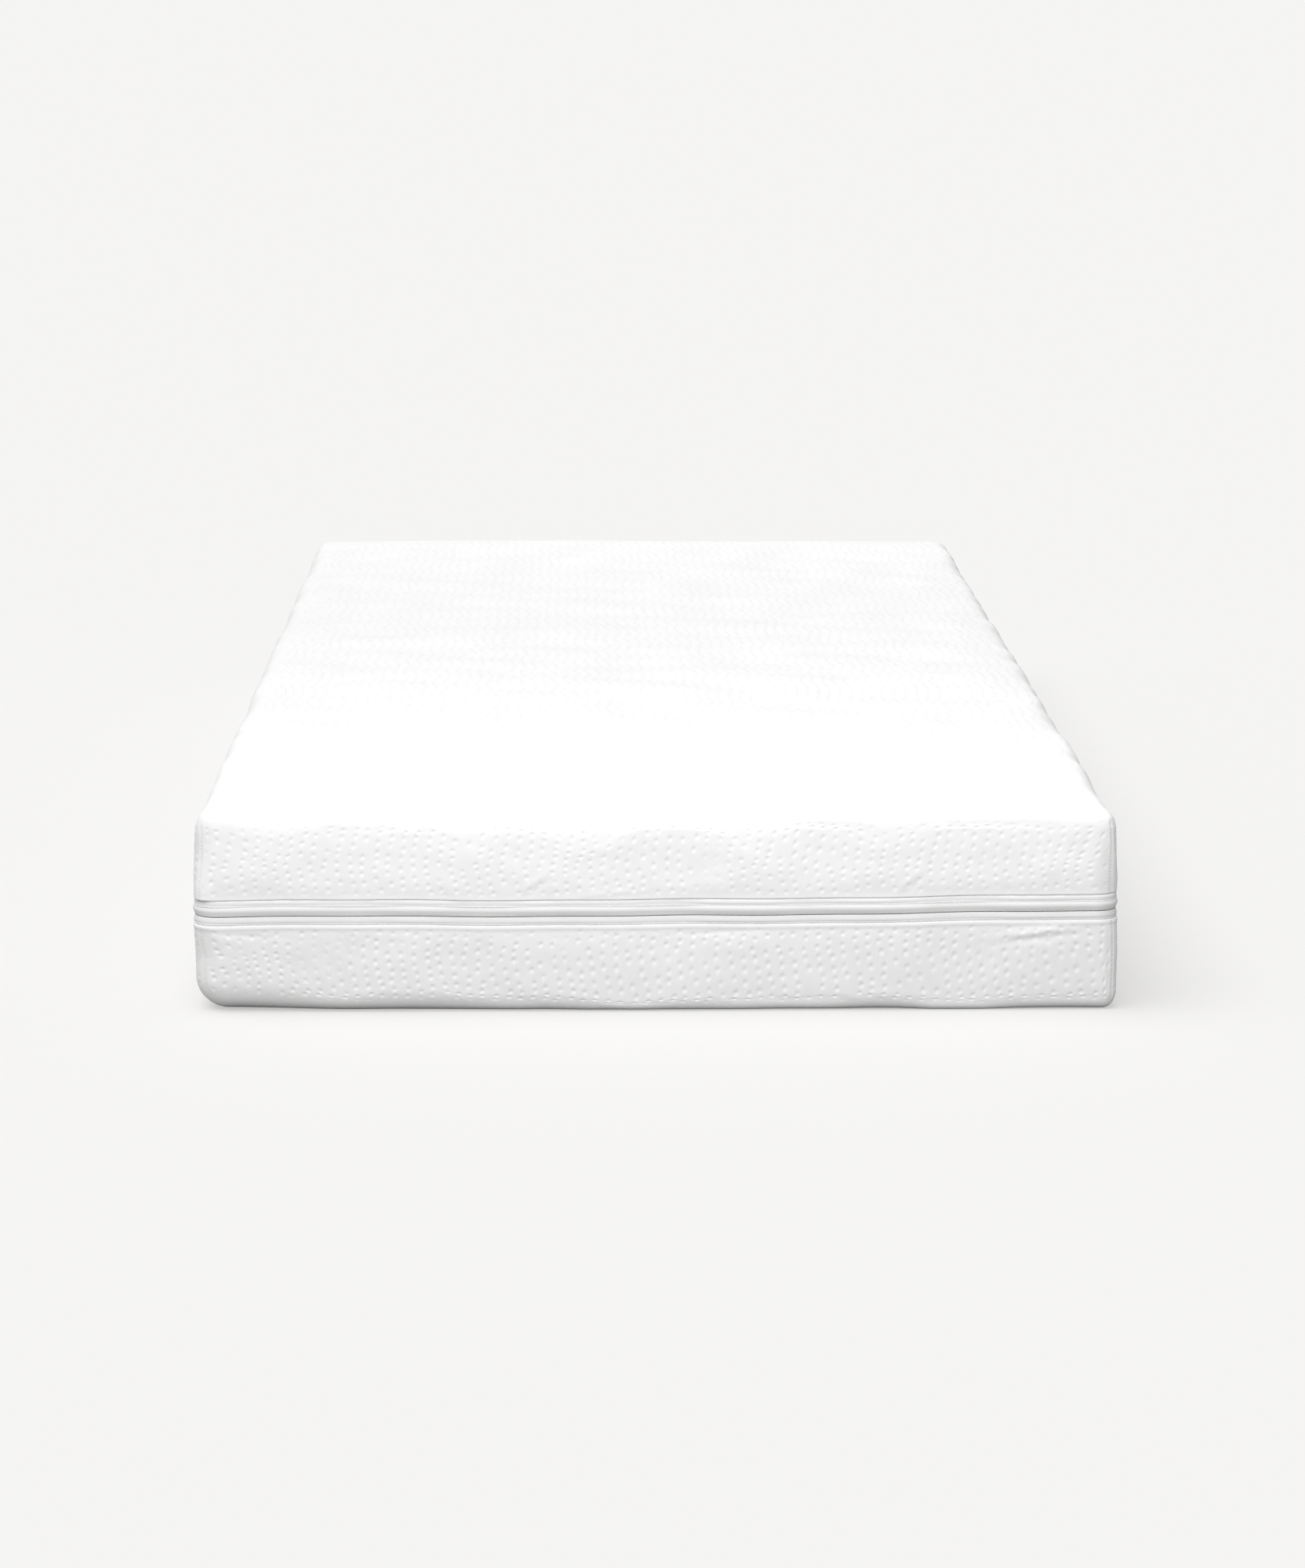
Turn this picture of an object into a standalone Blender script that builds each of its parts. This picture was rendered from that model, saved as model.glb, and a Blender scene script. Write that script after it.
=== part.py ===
"""Memory foam mattress, 90 x 200 x 20 cm, with a knitted cover that unzips all the way round.

Three foam layers, glued into one core, lie in the lower half of the cover. The upper half of the
cover lies over them, and a concealed zip round the border joins the two halves. Each half is a
knitted fabric, a fibre wadding and a thin backing. A flap hides the zip chain from above and a
welt from below. The slider is parked at the +X end of the +Y side, with its pull hanging outside.

Metres, +Z up. The origin is at the centre of the underside and +Y runs along the length.
"""

import math

import bmesh
import bpy
from mathutils import Vector

# Driving dimensions
WIDTH = 0.900
LENGTH = 2.000
HEIGHT = 0.200
EDGE_RADIUS = 0.026
EDGE_STEPS = 6  # flats in each quarter round, the same on every layer so that they nest
GAP = 0.0003  # left between pieces that touch

# The cover's layers, from the outside in
KNIT = 0.0020
WADDING = 0.0065
BACKING = 0.0006

# Foam layers of the core
BASE_FOAM = 0.0997
TRANSITION_FOAM = 0.0297
GROOVE_WIDTH = 0.006
GROOVE_DEPTH = 0.020
# (share of the length where the zone starts, where it ends, pitch of its cross grooves)
SUPPORT_ZONES = (
    (0.06, 0.14, 0.080),
    (0.14, 0.30, 0.032),
    (0.30, 0.42, 0.060),
    (0.42, 0.58, 0.048),
    (0.58, 0.70, 0.060),
    (0.70, 0.86, 0.032),
    (0.86, 0.94, 0.080),
)

# Heights along the border
UPPER_HEM = 0.1130
FLAP_EDGE = 0.0968
WELT_EDGE = 0.0940
LOWER_HEM = 0.0860
ZIP_LEVEL = 0.0980  # middle of the zip chain
FLAP_STITCH_LEVEL = 0.1060
WELT_STITCH_LEVEL = 0.0885

# The zip. Insets are measured inwards from the border's outer face.
FLAP_INSET = 0.0015
FLAP_THICKNESS = 0.0016
THREAD_RADIUS = 0.00035
TAPE_INSET = 0.0061
TAPE_THICKNESS = 0.0006
COIL_INSET = 0.0064
COIL_RADIUS = 0.0011
COIL_OFFSET = 0.0020  # from the middle of the chain to each coil's own centreline
PARK_X = 0.360  # middle of the parked slider, on the +Y side
SLIDER_LENGTH = 0.012
SLIDER_WIDTH = 0.0095
SLIDER_DEPTH = 0.0050
SLIDER_INSET = 0.0039
CHANNEL_WIDTH = 0.0070
CHANNEL_DEPTH = 0.0029
SLOT_DEPTH = 0.0012
PIVOT_OUTSET = 0.0008  # the pull's pivot stands this far out of the border's face
EYE_RADIUS = 0.0017
EYE_HOLE_RADIUS = 0.0008
EYE_THICKNESS = 0.0016
PULL_LENGTH = 0.026
PULL_WIDTH = 0.0070
PULL_THICKNESS = 0.0010

LABEL_WIDTH = 0.030
LABEL_LENGTH = 0.044
LABEL_THICKNESS = 0.0006
LABEL_Y = 0.750

COVER_DEPTH = KNIT + WADDING + BACKING + 3 * GAP
PIVOT_LEVEL = (FLAP_EDGE + WELT_EDGE) / 2
BACK_FACE = LENGTH / 2
STOP_LENGTH = 0.003
BOX_LENGTH = 0.009
TAB_START = PARK_X + 0.012
TAB_LENGTH = 0.032
CHAIN_END = PARK_X - SLIDER_LENGTH / 2 - 0.0005
CHAIN_START = PARK_X + 0.0265

MATERIALS = {
    # name: (colour, roughness, metallic)
    "white_knit": ((0.93, 0.93, 0.93), 0.90, 0.0),
    "white_tape": ((0.90, 0.90, 0.91), 0.80, 0.0),
    "sewing_thread": ((0.92, 0.92, 0.92), 0.70, 0.0),
    "fibre_wadding": ((0.95, 0.95, 0.94), 0.95, 0.0),
    "nonwoven_backing": ((0.88, 0.88, 0.87), 0.85, 0.0),
    "memory_foam": ((0.93, 0.90, 0.80), 0.90, 0.0),
    "transition_foam": ((0.72, 0.84, 0.88), 0.90, 0.0),
    "support_foam": ((0.90, 0.90, 0.88), 0.90, 0.0),
    "white_nylon": ((0.88, 0.88, 0.88), 0.45, 0.0),
    "satin_label": ((0.94, 0.94, 0.93), 0.50, 0.0),
    "lacquered_zinc": ((0.85, 0.85, 0.85), 0.35, 0.6),
}


def clear_scene():
    for old in list(bpy.data.objects):
        bpy.data.objects.remove(old, do_unlink=True)


def new_collection(name, hidden=False):
    collection = bpy.data.collections.new(name)
    collection.hide_render = hidden
    bpy.context.scene.collection.children.link(collection)
    return collection


def make_materials():
    made = {}
    for name, (colour, roughness, metallic) in MATERIALS.items():
        material = bpy.data.materials.new(name)
        material.use_nodes = True
        shader = material.node_tree.nodes["Principled BSDF"]
        shader.inputs["Base Color"].default_value = (*colour, 1.0)
        shader.inputs["Roughness"].default_value = roughness
        shader.inputs["Metallic"].default_value = metallic
        made[name] = material
    return made


class Builder:
    """Makes named objects, each with its material, its parent and its place."""

    def __init__(self):
        self.parts = new_collection("memory_foam_mattress")
        self.cutters = new_collection("cutters", hidden=True)
        self.materials = make_materials()

    def body(self, name, location=(0.0, 0.0, 0.0), parent=None):
        """An empty that a group of parts moves with."""
        empty = bpy.data.objects.new(name, None)
        empty.parent = parent
        empty.location = Vector(location)
        self.parts.objects.link(empty)
        return empty

    def part(self, name, data, material, parent, location=(0.0, 0.0, 0.0)):
        obj = bpy.data.objects.new(name, data)
        obj.parent = parent
        obj.location = Vector(location)
        data.materials.append(self.materials[material])
        self.parts.objects.link(obj)
        return obj

    def boolean(self, target, cutter_mesh, operation="DIFFERENCE", location=(0.0, 0.0, 0.0)):
        """Cuts or joins a hidden helper, placed in the target's own frame."""
        helper = bpy.data.objects.new(target.name + "_cutter", cutter_mesh)
        helper.parent = target
        helper.location = Vector(location)
        helper.hide_render = True
        helper.display_type = "WIRE"
        self.cutters.objects.link(helper)
        modifier = target.modifiers.new(operation.title(), "BOOLEAN")
        modifier.operation = operation
        modifier.object = helper


def mesh_from(bm, name):
    mesh = bpy.data.meshes.new(name)
    bm.to_mesh(mesh)
    bm.free()
    return mesh


def box(size, centre=(0.0, 0.0, 0.0), bevel=0.0):
    """A box as a bmesh, with its edges chamfered by bevel."""
    bm = bmesh.new()
    bmesh.ops.create_cube(bm, size=1.0)
    bmesh.ops.scale(bm, vec=size, verts=bm.verts)
    if bevel:
        bmesh.ops.bevel(bm, geom=bm.edges[:], offset=bevel, segments=1, affect="EDGES")
    bmesh.ops.translate(bm, vec=centre, verts=bm.verts)
    return bm


def rounded_block(inset):
    """The mattress's outer shape with all its edges rounded, shrunk inwards by inset."""
    bm = box(
        (WIDTH - 2 * inset, LENGTH - 2 * inset, HEIGHT - 2 * inset), (0.0, 0.0, HEIGHT / 2)
    )
    bmesh.ops.bevel(
        bm,
        geom=bm.edges[:],
        offset=EDGE_RADIUS - inset,
        segments=EDGE_STEPS,
        profile=0.5,
        affect="EDGES",
    )
    return bm


def cut_at(bm, level, keep_above, fill):
    """Removes the side of a bmesh above or below a level, and fills the cut if asked."""
    cut = bmesh.ops.bisect_plane(
        bm,
        geom=bm.verts[:] + bm.edges[:] + bm.faces[:],
        plane_co=(0.0, 0.0, level),
        plane_no=(0.0, 0.0, 1.0),
        clear_inner=keep_above,
        clear_outer=not keep_above,
    )
    if fill:
        rim = [e for e in cut["geom_cut"] if isinstance(e, bmesh.types.BMEdge)]
        bmesh.ops.contextual_create(bm, geom=rim)
        bmesh.ops.recalc_face_normals(bm, faces=bm.faces[:])


def slice_of_block(inset, low=None, high=None, fill=False):
    """The part of the rounded block between two levels, open or filled at the cuts."""
    bm = rounded_block(inset)
    if low is not None:
        cut_at(bm, low, keep_above=True, fill=fill)
    if high is not None:
        cut_at(bm, high, keep_above=False, fill=fill)
    return bm


def shell(builder, name, material, parent, inset, thickness, low=None, high=None):
    """An open slice of the block, thickened inwards into a cover half or a band."""
    mesh = mesh_from(slice_of_block(inset, low, high), name)
    obj = builder.part(name, mesh, material, parent)
    solidify = obj.modifiers.new("Thickness", "SOLIDIFY")
    solidify.thickness = thickness
    solidify.offset = -1.0
    solidify.use_even_offset = True
    return obj


def perimeter(inset, start_x, end_x):
    """Points round the border, anticlockwise from start_x to end_x, both on the +Y side."""
    radius = EDGE_RADIUS - inset
    across, along = WIDTH / 2 - EDGE_RADIUS, LENGTH / 2 - EDGE_RADIUS
    points = [(start_x, along + radius)]
    for corner, (side_x, side_y) in enumerate(((-1, 1), (-1, -1), (1, -1), (1, 1))):
        for step in range(EDGE_STEPS + 1):
            turn = math.radians(90 * (corner + 1 + step / EDGE_STEPS))
            points.append(
                (
                    side_x * across + radius * math.cos(turn),
                    side_y * along + radius * math.sin(turn),
                )
            )
    points.append((end_x, along + radius))
    return points


def tube(name, points, radius, sides=8):
    """A round bar through flat or spatial points, as curve data with filled caps."""
    curve = bpy.data.curves.new(name, "CURVE")
    curve.dimensions = "3D"
    curve.bevel_depth = radius
    curve.bevel_resolution = sides // 2 - 2
    curve.use_fill_caps = True
    spline = curve.splines.new("POLY")
    spline.points.add(len(points) - 1)
    for point, place in zip(spline.points, points):
        point.co = (*place, 1.0) if len(place) == 3 else (*place, 0.0, 1.0)
    return curve


def cylinder_along_x(radius, length, steps=24):
    bm = bmesh.new()
    bmesh.ops.create_cone(
        bm, cap_ends=True, segments=steps, radius1=radius, radius2=radius, depth=length
    )
    for vertex in bm.verts:
        vertex.co = Vector((vertex.co.z, vertex.co.x, vertex.co.y))
    return bm


def make_cover_half(builder, half, parent, low, high):
    """Knit, wadding and backing of one half of the cover, nested with a gap between them."""
    shell(builder, f"{half}_cover_knit", "white_knit", parent, 0.0, KNIT, low, high)
    inset = KNIT + GAP
    shell(
        builder, f"{half}_cover_wadding", "fibre_wadding", parent, inset, WADDING, low, high
    )
    inset += WADDING + GAP
    shell(
        builder, f"{half}_cover_backing", "nonwoven_backing", parent, inset, BACKING, low, high
    )


def make_corner_seams(builder, half, parent, low, high):
    """The threads of the four upright seams of one half of the cover, one at each corner."""
    reach = (EDGE_RADIUS + GAP + THREAD_RADIUS) * math.sqrt(0.5)
    for end, side_y in (("front", -1), ("back", 1)):
        for side, side_x in (("left", -1), ("right", 1)):
            x = side_x * (WIDTH / 2 - EDGE_RADIUS + reach)
            y = side_y * (LENGTH / 2 - EDGE_RADIUS + reach)
            name = f"{half}_corner_seam_{end}_{side}"
            thread = tube(name, [(0.0, 0.0, 0.0), (0.0, 0.0, high - low)], THREAD_RADIUS)
            builder.part(name, thread, "sewing_thread", parent, (x, y, low))


def make_topstitch(builder, name, parent, level):
    """A line of thread round the zip band, with its two ends under the end tab."""
    inset = FLAP_INSET - GAP - THREAD_RADIUS
    points = perimeter(inset, TAB_START - GAP, TAB_START + TAB_LENGTH + GAP)
    thread = tube(name, points, THREAD_RADIUS)
    builder.part(name, thread, "sewing_thread", parent, (0, 0, level))


def make_coil(builder, name, parent, side):
    """One half of the zip chain: a nylon bead round the border, open where the slider parks."""
    points = perimeter(COIL_INSET, CHAIN_END, CHAIN_START)
    level = ZIP_LEVEL + side * COIL_OFFSET
    builder.part(name, tube(name, points, COIL_RADIUS), "white_nylon", parent, (0, 0, level))


def make_chain_fitting(builder, name, parent, side, start_x, length, thickness):
    """A moulded stop, pin or box on one coil's line, on the +Y side."""
    height = 2 * COIL_RADIUS
    mesh = mesh_from(box((length, thickness, height), bevel=0.0004), name)
    place = (
        start_x + length / 2,
        BACK_FACE - COIL_INSET,
        ZIP_LEVEL + side * COIL_OFFSET,
    )
    builder.part(name, mesh, "white_nylon", parent, place)


def make_zip_side(builder, half, parent, side):
    """Tape, coil and end stop on one side of the zip chain."""
    edge = ZIP_LEVEL + side * (COIL_OFFSET + COIL_RADIUS + GAP)
    hem = UPPER_HEM - GAP if side > 0 else LOWER_HEM + GAP
    low, high = sorted((edge, hem))
    shell(
        builder,
        f"{half}_zip_tape",
        "white_tape",
        parent,
        TAPE_INSET,
        TAPE_THICKNESS,
        low,
        high,
    )
    make_coil(builder, f"{half}_zip_coil", parent, side)
    stop_start = PARK_X + SLIDER_LENGTH / 2 + 0.001
    make_chain_fitting(
        builder, f"{half}_end_stop", parent, side, stop_start, STOP_LENGTH, 0.0030
    )


def make_end_tab(builder, parent):
    """A fabric patch over the start of the chain, sewn to the welt."""
    thickness, height = 0.0011, 0.022
    mesh = mesh_from(box((TAB_LENGTH, thickness, height), bevel=0.0004), "zip_end_tab")
    middle_depth = FLAP_INSET - GAP - thickness / 2
    place = (
        TAB_START + TAB_LENGTH / 2,
        BACK_FACE - middle_depth,
        (UPPER_HEM + LOWER_HEM) / 2,
    )
    builder.part("zip_end_tab", mesh, "white_tape", parent, place)


def make_care_label(builder, parent):
    """A blank folded label that hangs from the lower hem on the +X side, near the back."""
    top = LOWER_HEM + GAP + 2 * LABEL_THICKNESS
    tuck = FLAP_INSET - GAP  # how far the label turns in over the hem
    out = GAP + LABEL_THICKNESS
    outline = (
        (GAP, top - LABEL_LENGTH),
        (out, top - LABEL_LENGTH),
        (out, top),
        (-tuck, top),
        (-tuck, top - LABEL_THICKNESS),
        (GAP, top - LABEL_THICKNESS),
    )
    curve = bpy.data.curves.new("care_label", "CURVE")
    curve.dimensions = "2D"
    curve.fill_mode = "BOTH"
    curve.extrude = LABEL_WIDTH / 2
    spline = curve.splines.new("POLY")
    spline.points.add(len(outline) - 1)
    spline.use_cyclic_u = True
    for point, (across, up) in zip(spline.points, outline):
        point.co = (across, up, 0.0, 1.0)
    label = builder.part("care_label", curve, "satin_label", parent, (WIDTH / 2, LABEL_Y, 0))
    label.rotation_euler = (math.radians(90), 0.0, 0.0)


def groove_levels():
    """Middle heights of the cutters for the base foam's upper and lower grooves."""
    bottom = COVER_DEPTH
    return (bottom + BASE_FOAM, bottom)


def make_core(builder, parent):
    """Base, transition and memory foam, sliced from one rounded block."""
    base_top = COVER_DEPTH + BASE_FOAM
    transition_top = base_top + GAP + TRANSITION_FOAM
    base = builder.part(
        "support_foam_base",
        mesh_from(slice_of_block(COVER_DEPTH, high=base_top, fill=True), "support_foam_base"),
        "support_foam",
        parent,
    )
    cutters = bmesh.new()
    for start, end, pitch in SUPPORT_ZONES:
        span = (end - start) * LENGTH
        count = max(1, round(span / pitch))
        for step in range(count):
            y = -LENGTH / 2 + start * LENGTH + (step + 0.5) * span / count
            for level in groove_levels():
                add_groove(cutters, y, level)
    builder.boolean(base, mesh_from(cutters, "grooves"))
    builder.part(
        "transition_foam_layer",
        mesh_from(
            slice_of_block(COVER_DEPTH, base_top + GAP, transition_top, fill=True),
            "transition_foam_layer",
        ),
        "transition_foam",
        parent,
    )
    builder.part(
        "memory_foam_layer",
        mesh_from(
            slice_of_block(COVER_DEPTH, low=transition_top + GAP, fill=True),
            "memory_foam_layer",
        ),
        "memory_foam",
        parent,
    )


def add_groove(bm, y, level):
    """A bar across the whole width, centred on a face of the foam, that cuts half its height."""
    groove = bmesh.ops.create_cube(bm, size=1.0)["verts"]
    bmesh.ops.scale(bm, vec=(1.2 * WIDTH, GROOVE_WIDTH, 2 * GROOVE_DEPTH), verts=groove)
    bmesh.ops.translate(bm, vec=(0.0, y, level), verts=groove)


def make_slider(builder, parent):
    """The slider: two plates held by a post, with slots for the tapes and an eye for the pull.

    Its frame has +X along the chain, +Y out of the border and +Z up, with the origin on the
    pull's pivot. The post divides the two coils at the mouth, which faces +X.
    """
    chain_y = -(PIVOT_OUTSET + SLIDER_INSET + SLIDER_DEPTH / 2)
    chain_z = ZIP_LEVEL - PIVOT_LEVEL
    mesh = mesh_from(
        box((SLIDER_LENGTH, SLIDER_DEPTH, SLIDER_WIDTH), (0, chain_y, chain_z), bevel=0.0008),
        "zip_slider",
    )
    slider = builder.part("zip_slider", mesh, "lacquered_zinc", parent)
    through = 2 * SLIDER_LENGTH
    channel = box((through, CHANNEL_DEPTH, CHANNEL_WIDTH), (0, chain_y, chain_z))
    builder.boolean(slider, mesh_from(channel, "channel"))
    slot = box((through, SLOT_DEPTH, 2 * SLIDER_WIDTH), (0, chain_y, chain_z))
    builder.boolean(slider, mesh_from(slot, "slot"))
    post_x = SLIDER_LENGTH / 2 - 0.0028
    post = box((0.0040, SLIDER_DEPTH - 0.0008, 0.0012), (post_x, chain_y, chain_z))
    builder.boolean(slider, mesh_from(post, "post"), "UNION")
    neck_root = chain_y + SLIDER_DEPTH / 2 - 0.0005
    neck_tip = -EYE_HOLE_RADIUS - 0.0003
    neck = box(
        (EYE_THICKNESS, neck_tip - neck_root, 0.0014), (0, (neck_root + neck_tip) / 2, 0)
    )
    builder.boolean(slider, mesh_from(neck, "neck"), "UNION")
    eye = cylinder_along_x(EYE_RADIUS, EYE_THICKNESS)
    builder.boolean(slider, mesh_from(eye, "eye"), "UNION")
    hole = cylinder_along_x(EYE_HOLE_RADIUS, 2 * EYE_THICKNESS)
    builder.boolean(slider, mesh_from(hole, "eye_hole"))


def make_pull(builder, parent):
    """The pull tab. Its round bar passes through the slider's eye, and the tab hangs below.

    The origin is on the bar's axis, which is the hinge.
    """
    middle = -PULL_LENGTH / 2 + PULL_THICKNESS / 2
    tab = box((PULL_WIDTH, PULL_THICKNESS, PULL_LENGTH), (0.0, 0.0, middle), bevel=0.0003)
    pull = builder.part("zip_pull", mesh_from(tab, "zip_pull"), "lacquered_zinc", parent)
    window_height = 0.0060
    window = box(
        (PULL_WIDTH - 0.0026, 2 * PULL_THICKNESS, window_height),
        (0.0, 0.0, -PULL_THICKNESS / 2 - window_height / 2),
    )
    builder.boolean(pull, mesh_from(window, "window"))
    grip = box((PULL_WIDTH - 0.0030, 2 * PULL_THICKNESS, 0.0070), (0, 0, -0.0195))
    builder.boolean(pull, mesh_from(grip, "grip_opening"))


def main():
    clear_scene()
    builder = Builder()
    lower = builder.body("lower_cover")
    core = builder.body("core", parent=lower)
    upper = builder.body("upper_cover", parent=core)
    slider = builder.body(
        "slider", (PARK_X, BACK_FACE + PIVOT_OUTSET, PIVOT_LEVEL), parent=lower
    )
    pull = builder.body("pull", parent=slider)

    make_cover_half(builder, "bottom", lower, None, LOWER_HEM)
    make_cover_half(builder, "top", upper, UPPER_HEM, None)
    straight_top = HEIGHT - EDGE_RADIUS
    make_corner_seams(builder, "bottom", lower, EDGE_RADIUS, LOWER_HEM - 0.003)
    make_corner_seams(builder, "top", upper, UPPER_HEM + 0.003, straight_top)
    make_core(builder, core)

    shell(
        builder,
        "zip_flap",
        "white_tape",
        upper,
        FLAP_INSET,
        FLAP_THICKNESS,
        FLAP_EDGE,
        UPPER_HEM - GAP,
    )
    shell(
        builder,
        "zip_welt",
        "white_tape",
        lower,
        FLAP_INSET,
        FLAP_THICKNESS,
        LOWER_HEM + GAP,
        WELT_EDGE,
    )
    make_topstitch(builder, "flap_topstitch", upper, FLAP_STITCH_LEVEL)
    make_topstitch(builder, "welt_topstitch", lower, WELT_STITCH_LEVEL)
    make_zip_side(builder, "upper", upper, 1)
    make_zip_side(builder, "lower", lower, -1)
    box_start = PARK_X + 0.017
    make_chain_fitting(
        builder, "zip_insertion_pin", upper, 1, box_start, BOX_LENGTH, 0.0022
    )
    make_chain_fitting(
        builder, "zip_retainer_box", lower, -1, box_start, BOX_LENGTH, 0.0040
    )
    make_end_tab(builder, lower)
    make_care_label(builder, lower)
    make_slider(builder, slider)
    make_pull(builder, pull)


main()
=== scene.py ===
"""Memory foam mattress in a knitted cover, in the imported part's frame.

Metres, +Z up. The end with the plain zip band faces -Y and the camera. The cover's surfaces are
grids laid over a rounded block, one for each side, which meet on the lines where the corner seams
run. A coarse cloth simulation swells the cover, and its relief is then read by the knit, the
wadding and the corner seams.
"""

import math

import bmesh
import bpy
import numpy as np
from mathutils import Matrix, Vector


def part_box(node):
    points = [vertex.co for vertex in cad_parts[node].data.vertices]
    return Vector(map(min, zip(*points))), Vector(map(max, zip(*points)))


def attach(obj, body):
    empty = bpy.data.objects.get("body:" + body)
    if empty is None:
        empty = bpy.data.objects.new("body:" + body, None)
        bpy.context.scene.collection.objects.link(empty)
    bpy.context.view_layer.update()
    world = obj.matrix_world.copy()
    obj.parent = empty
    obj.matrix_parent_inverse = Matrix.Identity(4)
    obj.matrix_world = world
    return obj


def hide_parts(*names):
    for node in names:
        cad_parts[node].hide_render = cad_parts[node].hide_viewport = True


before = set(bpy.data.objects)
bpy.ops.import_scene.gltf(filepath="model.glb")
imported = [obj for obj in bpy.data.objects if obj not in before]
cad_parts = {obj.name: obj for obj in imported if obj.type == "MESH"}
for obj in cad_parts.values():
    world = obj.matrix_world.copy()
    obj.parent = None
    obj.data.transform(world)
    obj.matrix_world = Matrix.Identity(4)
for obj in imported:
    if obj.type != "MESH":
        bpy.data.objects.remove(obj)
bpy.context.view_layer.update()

# The block that the cover lies over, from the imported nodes
_, BLOCK_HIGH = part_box("top_cover_knit")
HALF = np.array([BLOCK_HIGH.x, BLOCK_HIGH.y, BLOCK_HIGH.z / 2])
MIDDLE = np.array([0.0, 0.0, HALF[2]])
RADIUS = 0.026
UPPER_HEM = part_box("top_cover_knit")[0].z
LOWER_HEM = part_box("bottom_cover_knit")[1].z
HEMS = {"top": UPPER_HEM, "bottom": LOWER_HEM}
FLAP_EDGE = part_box("zip_flap")[0].z
WELT_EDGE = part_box("zip_welt")[1].z
FLAP_STITCH = sum(c.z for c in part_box("flap_topstitch")) / 2
WELT_STITCH = sum(c.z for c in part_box("welt_topstitch")) / 2
TAB_LOW, TAB_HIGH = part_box("zip_end_tab")
COIL_START = 0.3535  # where the zip chain begins on the +Y side, beside the slider
COIL_END = 0.3865  # where it comes back after going all the way round

# Layers of the cover, as insets from the outer face
WADDING_OUTER, WADDING_INNER = 0.0026, 0.0088
WADDING_THINNEST = 0.0015
BACKING_OUTER, BACKING_INNER = 0.0091, 0.0097
SEAM_GROOVE = 0.0006  # how deep the corner seams sink
SLACK = 0.0010  # how far the unswollen cover lies inside the block's face
SWELL_LIMIT = 0.0006  # the most that the border swells
CROWN_LIMIT = 0.0070  # the most that the sleeping face rises

# Pin dimples of the knit
DIMPLE_ACROSS, DIMPLE_UP = 0.0122, 0.0088
DIMPLE_HALF_WIDTH, DIMPLE_HALF_HEIGHT = 0.0022, 0.0020  # of those that the material draws
DIMPLE_REACH_ACROSS, DIMPLE_REACH_UP = 0.0034, 0.0031  # where one of the border's runs out
DIMPLE_DEPTH = 0.0010
DIMPLE_SHARE = {"top": 0.8, "bottom": 1.0}

RNG = np.random.default_rng(7)

# Each side of the block: the direction of its columns, of its rows, and outwards
FACES = {
    "front": ((1, 0, 0), (0, 0, 1), (0, -1, 0)),
    "right": ((0, 1, 0), (0, 0, 1), (1, 0, 0)),
    "back": ((-1, 0, 0), (0, 0, 1), (0, 1, 0)),
    "left": ((0, -1, 0), (0, 0, 1), (-1, 0, 0)),
    "top": ((1, 0, 0), (0, 1, 0), (0, 0, 1)),
    "under": ((-1, 0, 0), (0, 1, 0), (0, 0, -1)),
}
BORDERS = ("front", "right", "back", "left")


# ---------------------------------------------------------------- smooth maths

def smooth(low, high, value):
    """0 below low, 1 above high, and an S-curve between."""
    t = np.clip((value - low) / (high - low), 0.0, 1.0)
    return t * t * (3 - 2 * t)


def bump(value, width):
    return np.exp(-((value / width) ** 2))


class Ripple:
    """Smooth noise in space, from -1 to 1, as a sum of seeded waves."""

    def __init__(self, shortest, longest, count=14):
        directions = RNG.normal(size=(count, 3))
        directions /= np.linalg.norm(directions, axis=1)[:, None]
        lengths = RNG.uniform(shortest, longest, count)
        self.waves = directions * (2 * math.pi / lengths)[:, None]
        self.phases = RNG.uniform(0, 2 * math.pi, count)
        self.scale = 1.6 / math.sqrt(count)

    def __call__(self, points):
        total = np.zeros(points.shape[:-1])
        for wave, phase in zip(self.waves, self.phases):
            total += np.sin(points @ wave + phase)
        return np.clip(total * self.scale, -1.6, 1.6)


BROAD = Ripple(0.25, 0.60)
MEDIUM = Ripple(0.07, 0.16)
FINE = Ripple(0.020, 0.045)
Ripple(0.10, 0.22)  # not used: its draws stay, because PATCHES draws after it
PATCHES = Ripple(0.045, 0.075)


def scatter(columns, rows, salt):
    """A repeatable value from 0 to 1 for each whole-number pair."""
    mixed = np.sin(columns * 127.1 + rows * 311.7 + salt * 74.7) * 43758.5453
    return mixed - np.floor(mixed)


# ---------------------------------------------------------------- the rounded block

def axis_of(direction):
    return int(np.argmax(np.abs(direction)))


def unrolled(axis, half=HALF, radius=RADIUS):
    """Half the length of the cloth from the middle to the line half-way round the edge."""
    return half[axis] - radius + radius * math.pi / 4


def fold(distance, flat, radius):
    """Where cloth at this distance from the middle lies: flat part, and slope round the edge."""
    beyond = np.maximum(np.abs(distance) - flat, 0.0)
    sign = np.sign(distance)
    return sign * np.minimum(np.abs(distance), flat), sign * np.tan(beyond / radius)


def block(face, across, up, half=HALF, middle=MIDDLE, radius=RADIUS):
    """Points and outward normals of a rounded block for cloth coordinates on one of its sides."""
    columns, rows, outward = (np.array(v, float) for v in FACES[face])
    flat = half - radius
    flat_u, slope_u = fold(across, flat[axis_of(columns)], radius)
    flat_v, slope_v = fold(up, flat[axis_of(rows)], radius)
    normals = slope_u[..., None] * columns + slope_v[..., None] * rows + outward
    normals /= np.linalg.norm(normals, axis=-1)[..., None]
    flat_point = flat_u[..., None] * columns + flat_v[..., None] * rows
    centres = middle + flat_point + flat[axis_of(outward)] * outward
    return centres + radius * normals, normals


# ---------------------------------------------------------------- the cover's relief

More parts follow.
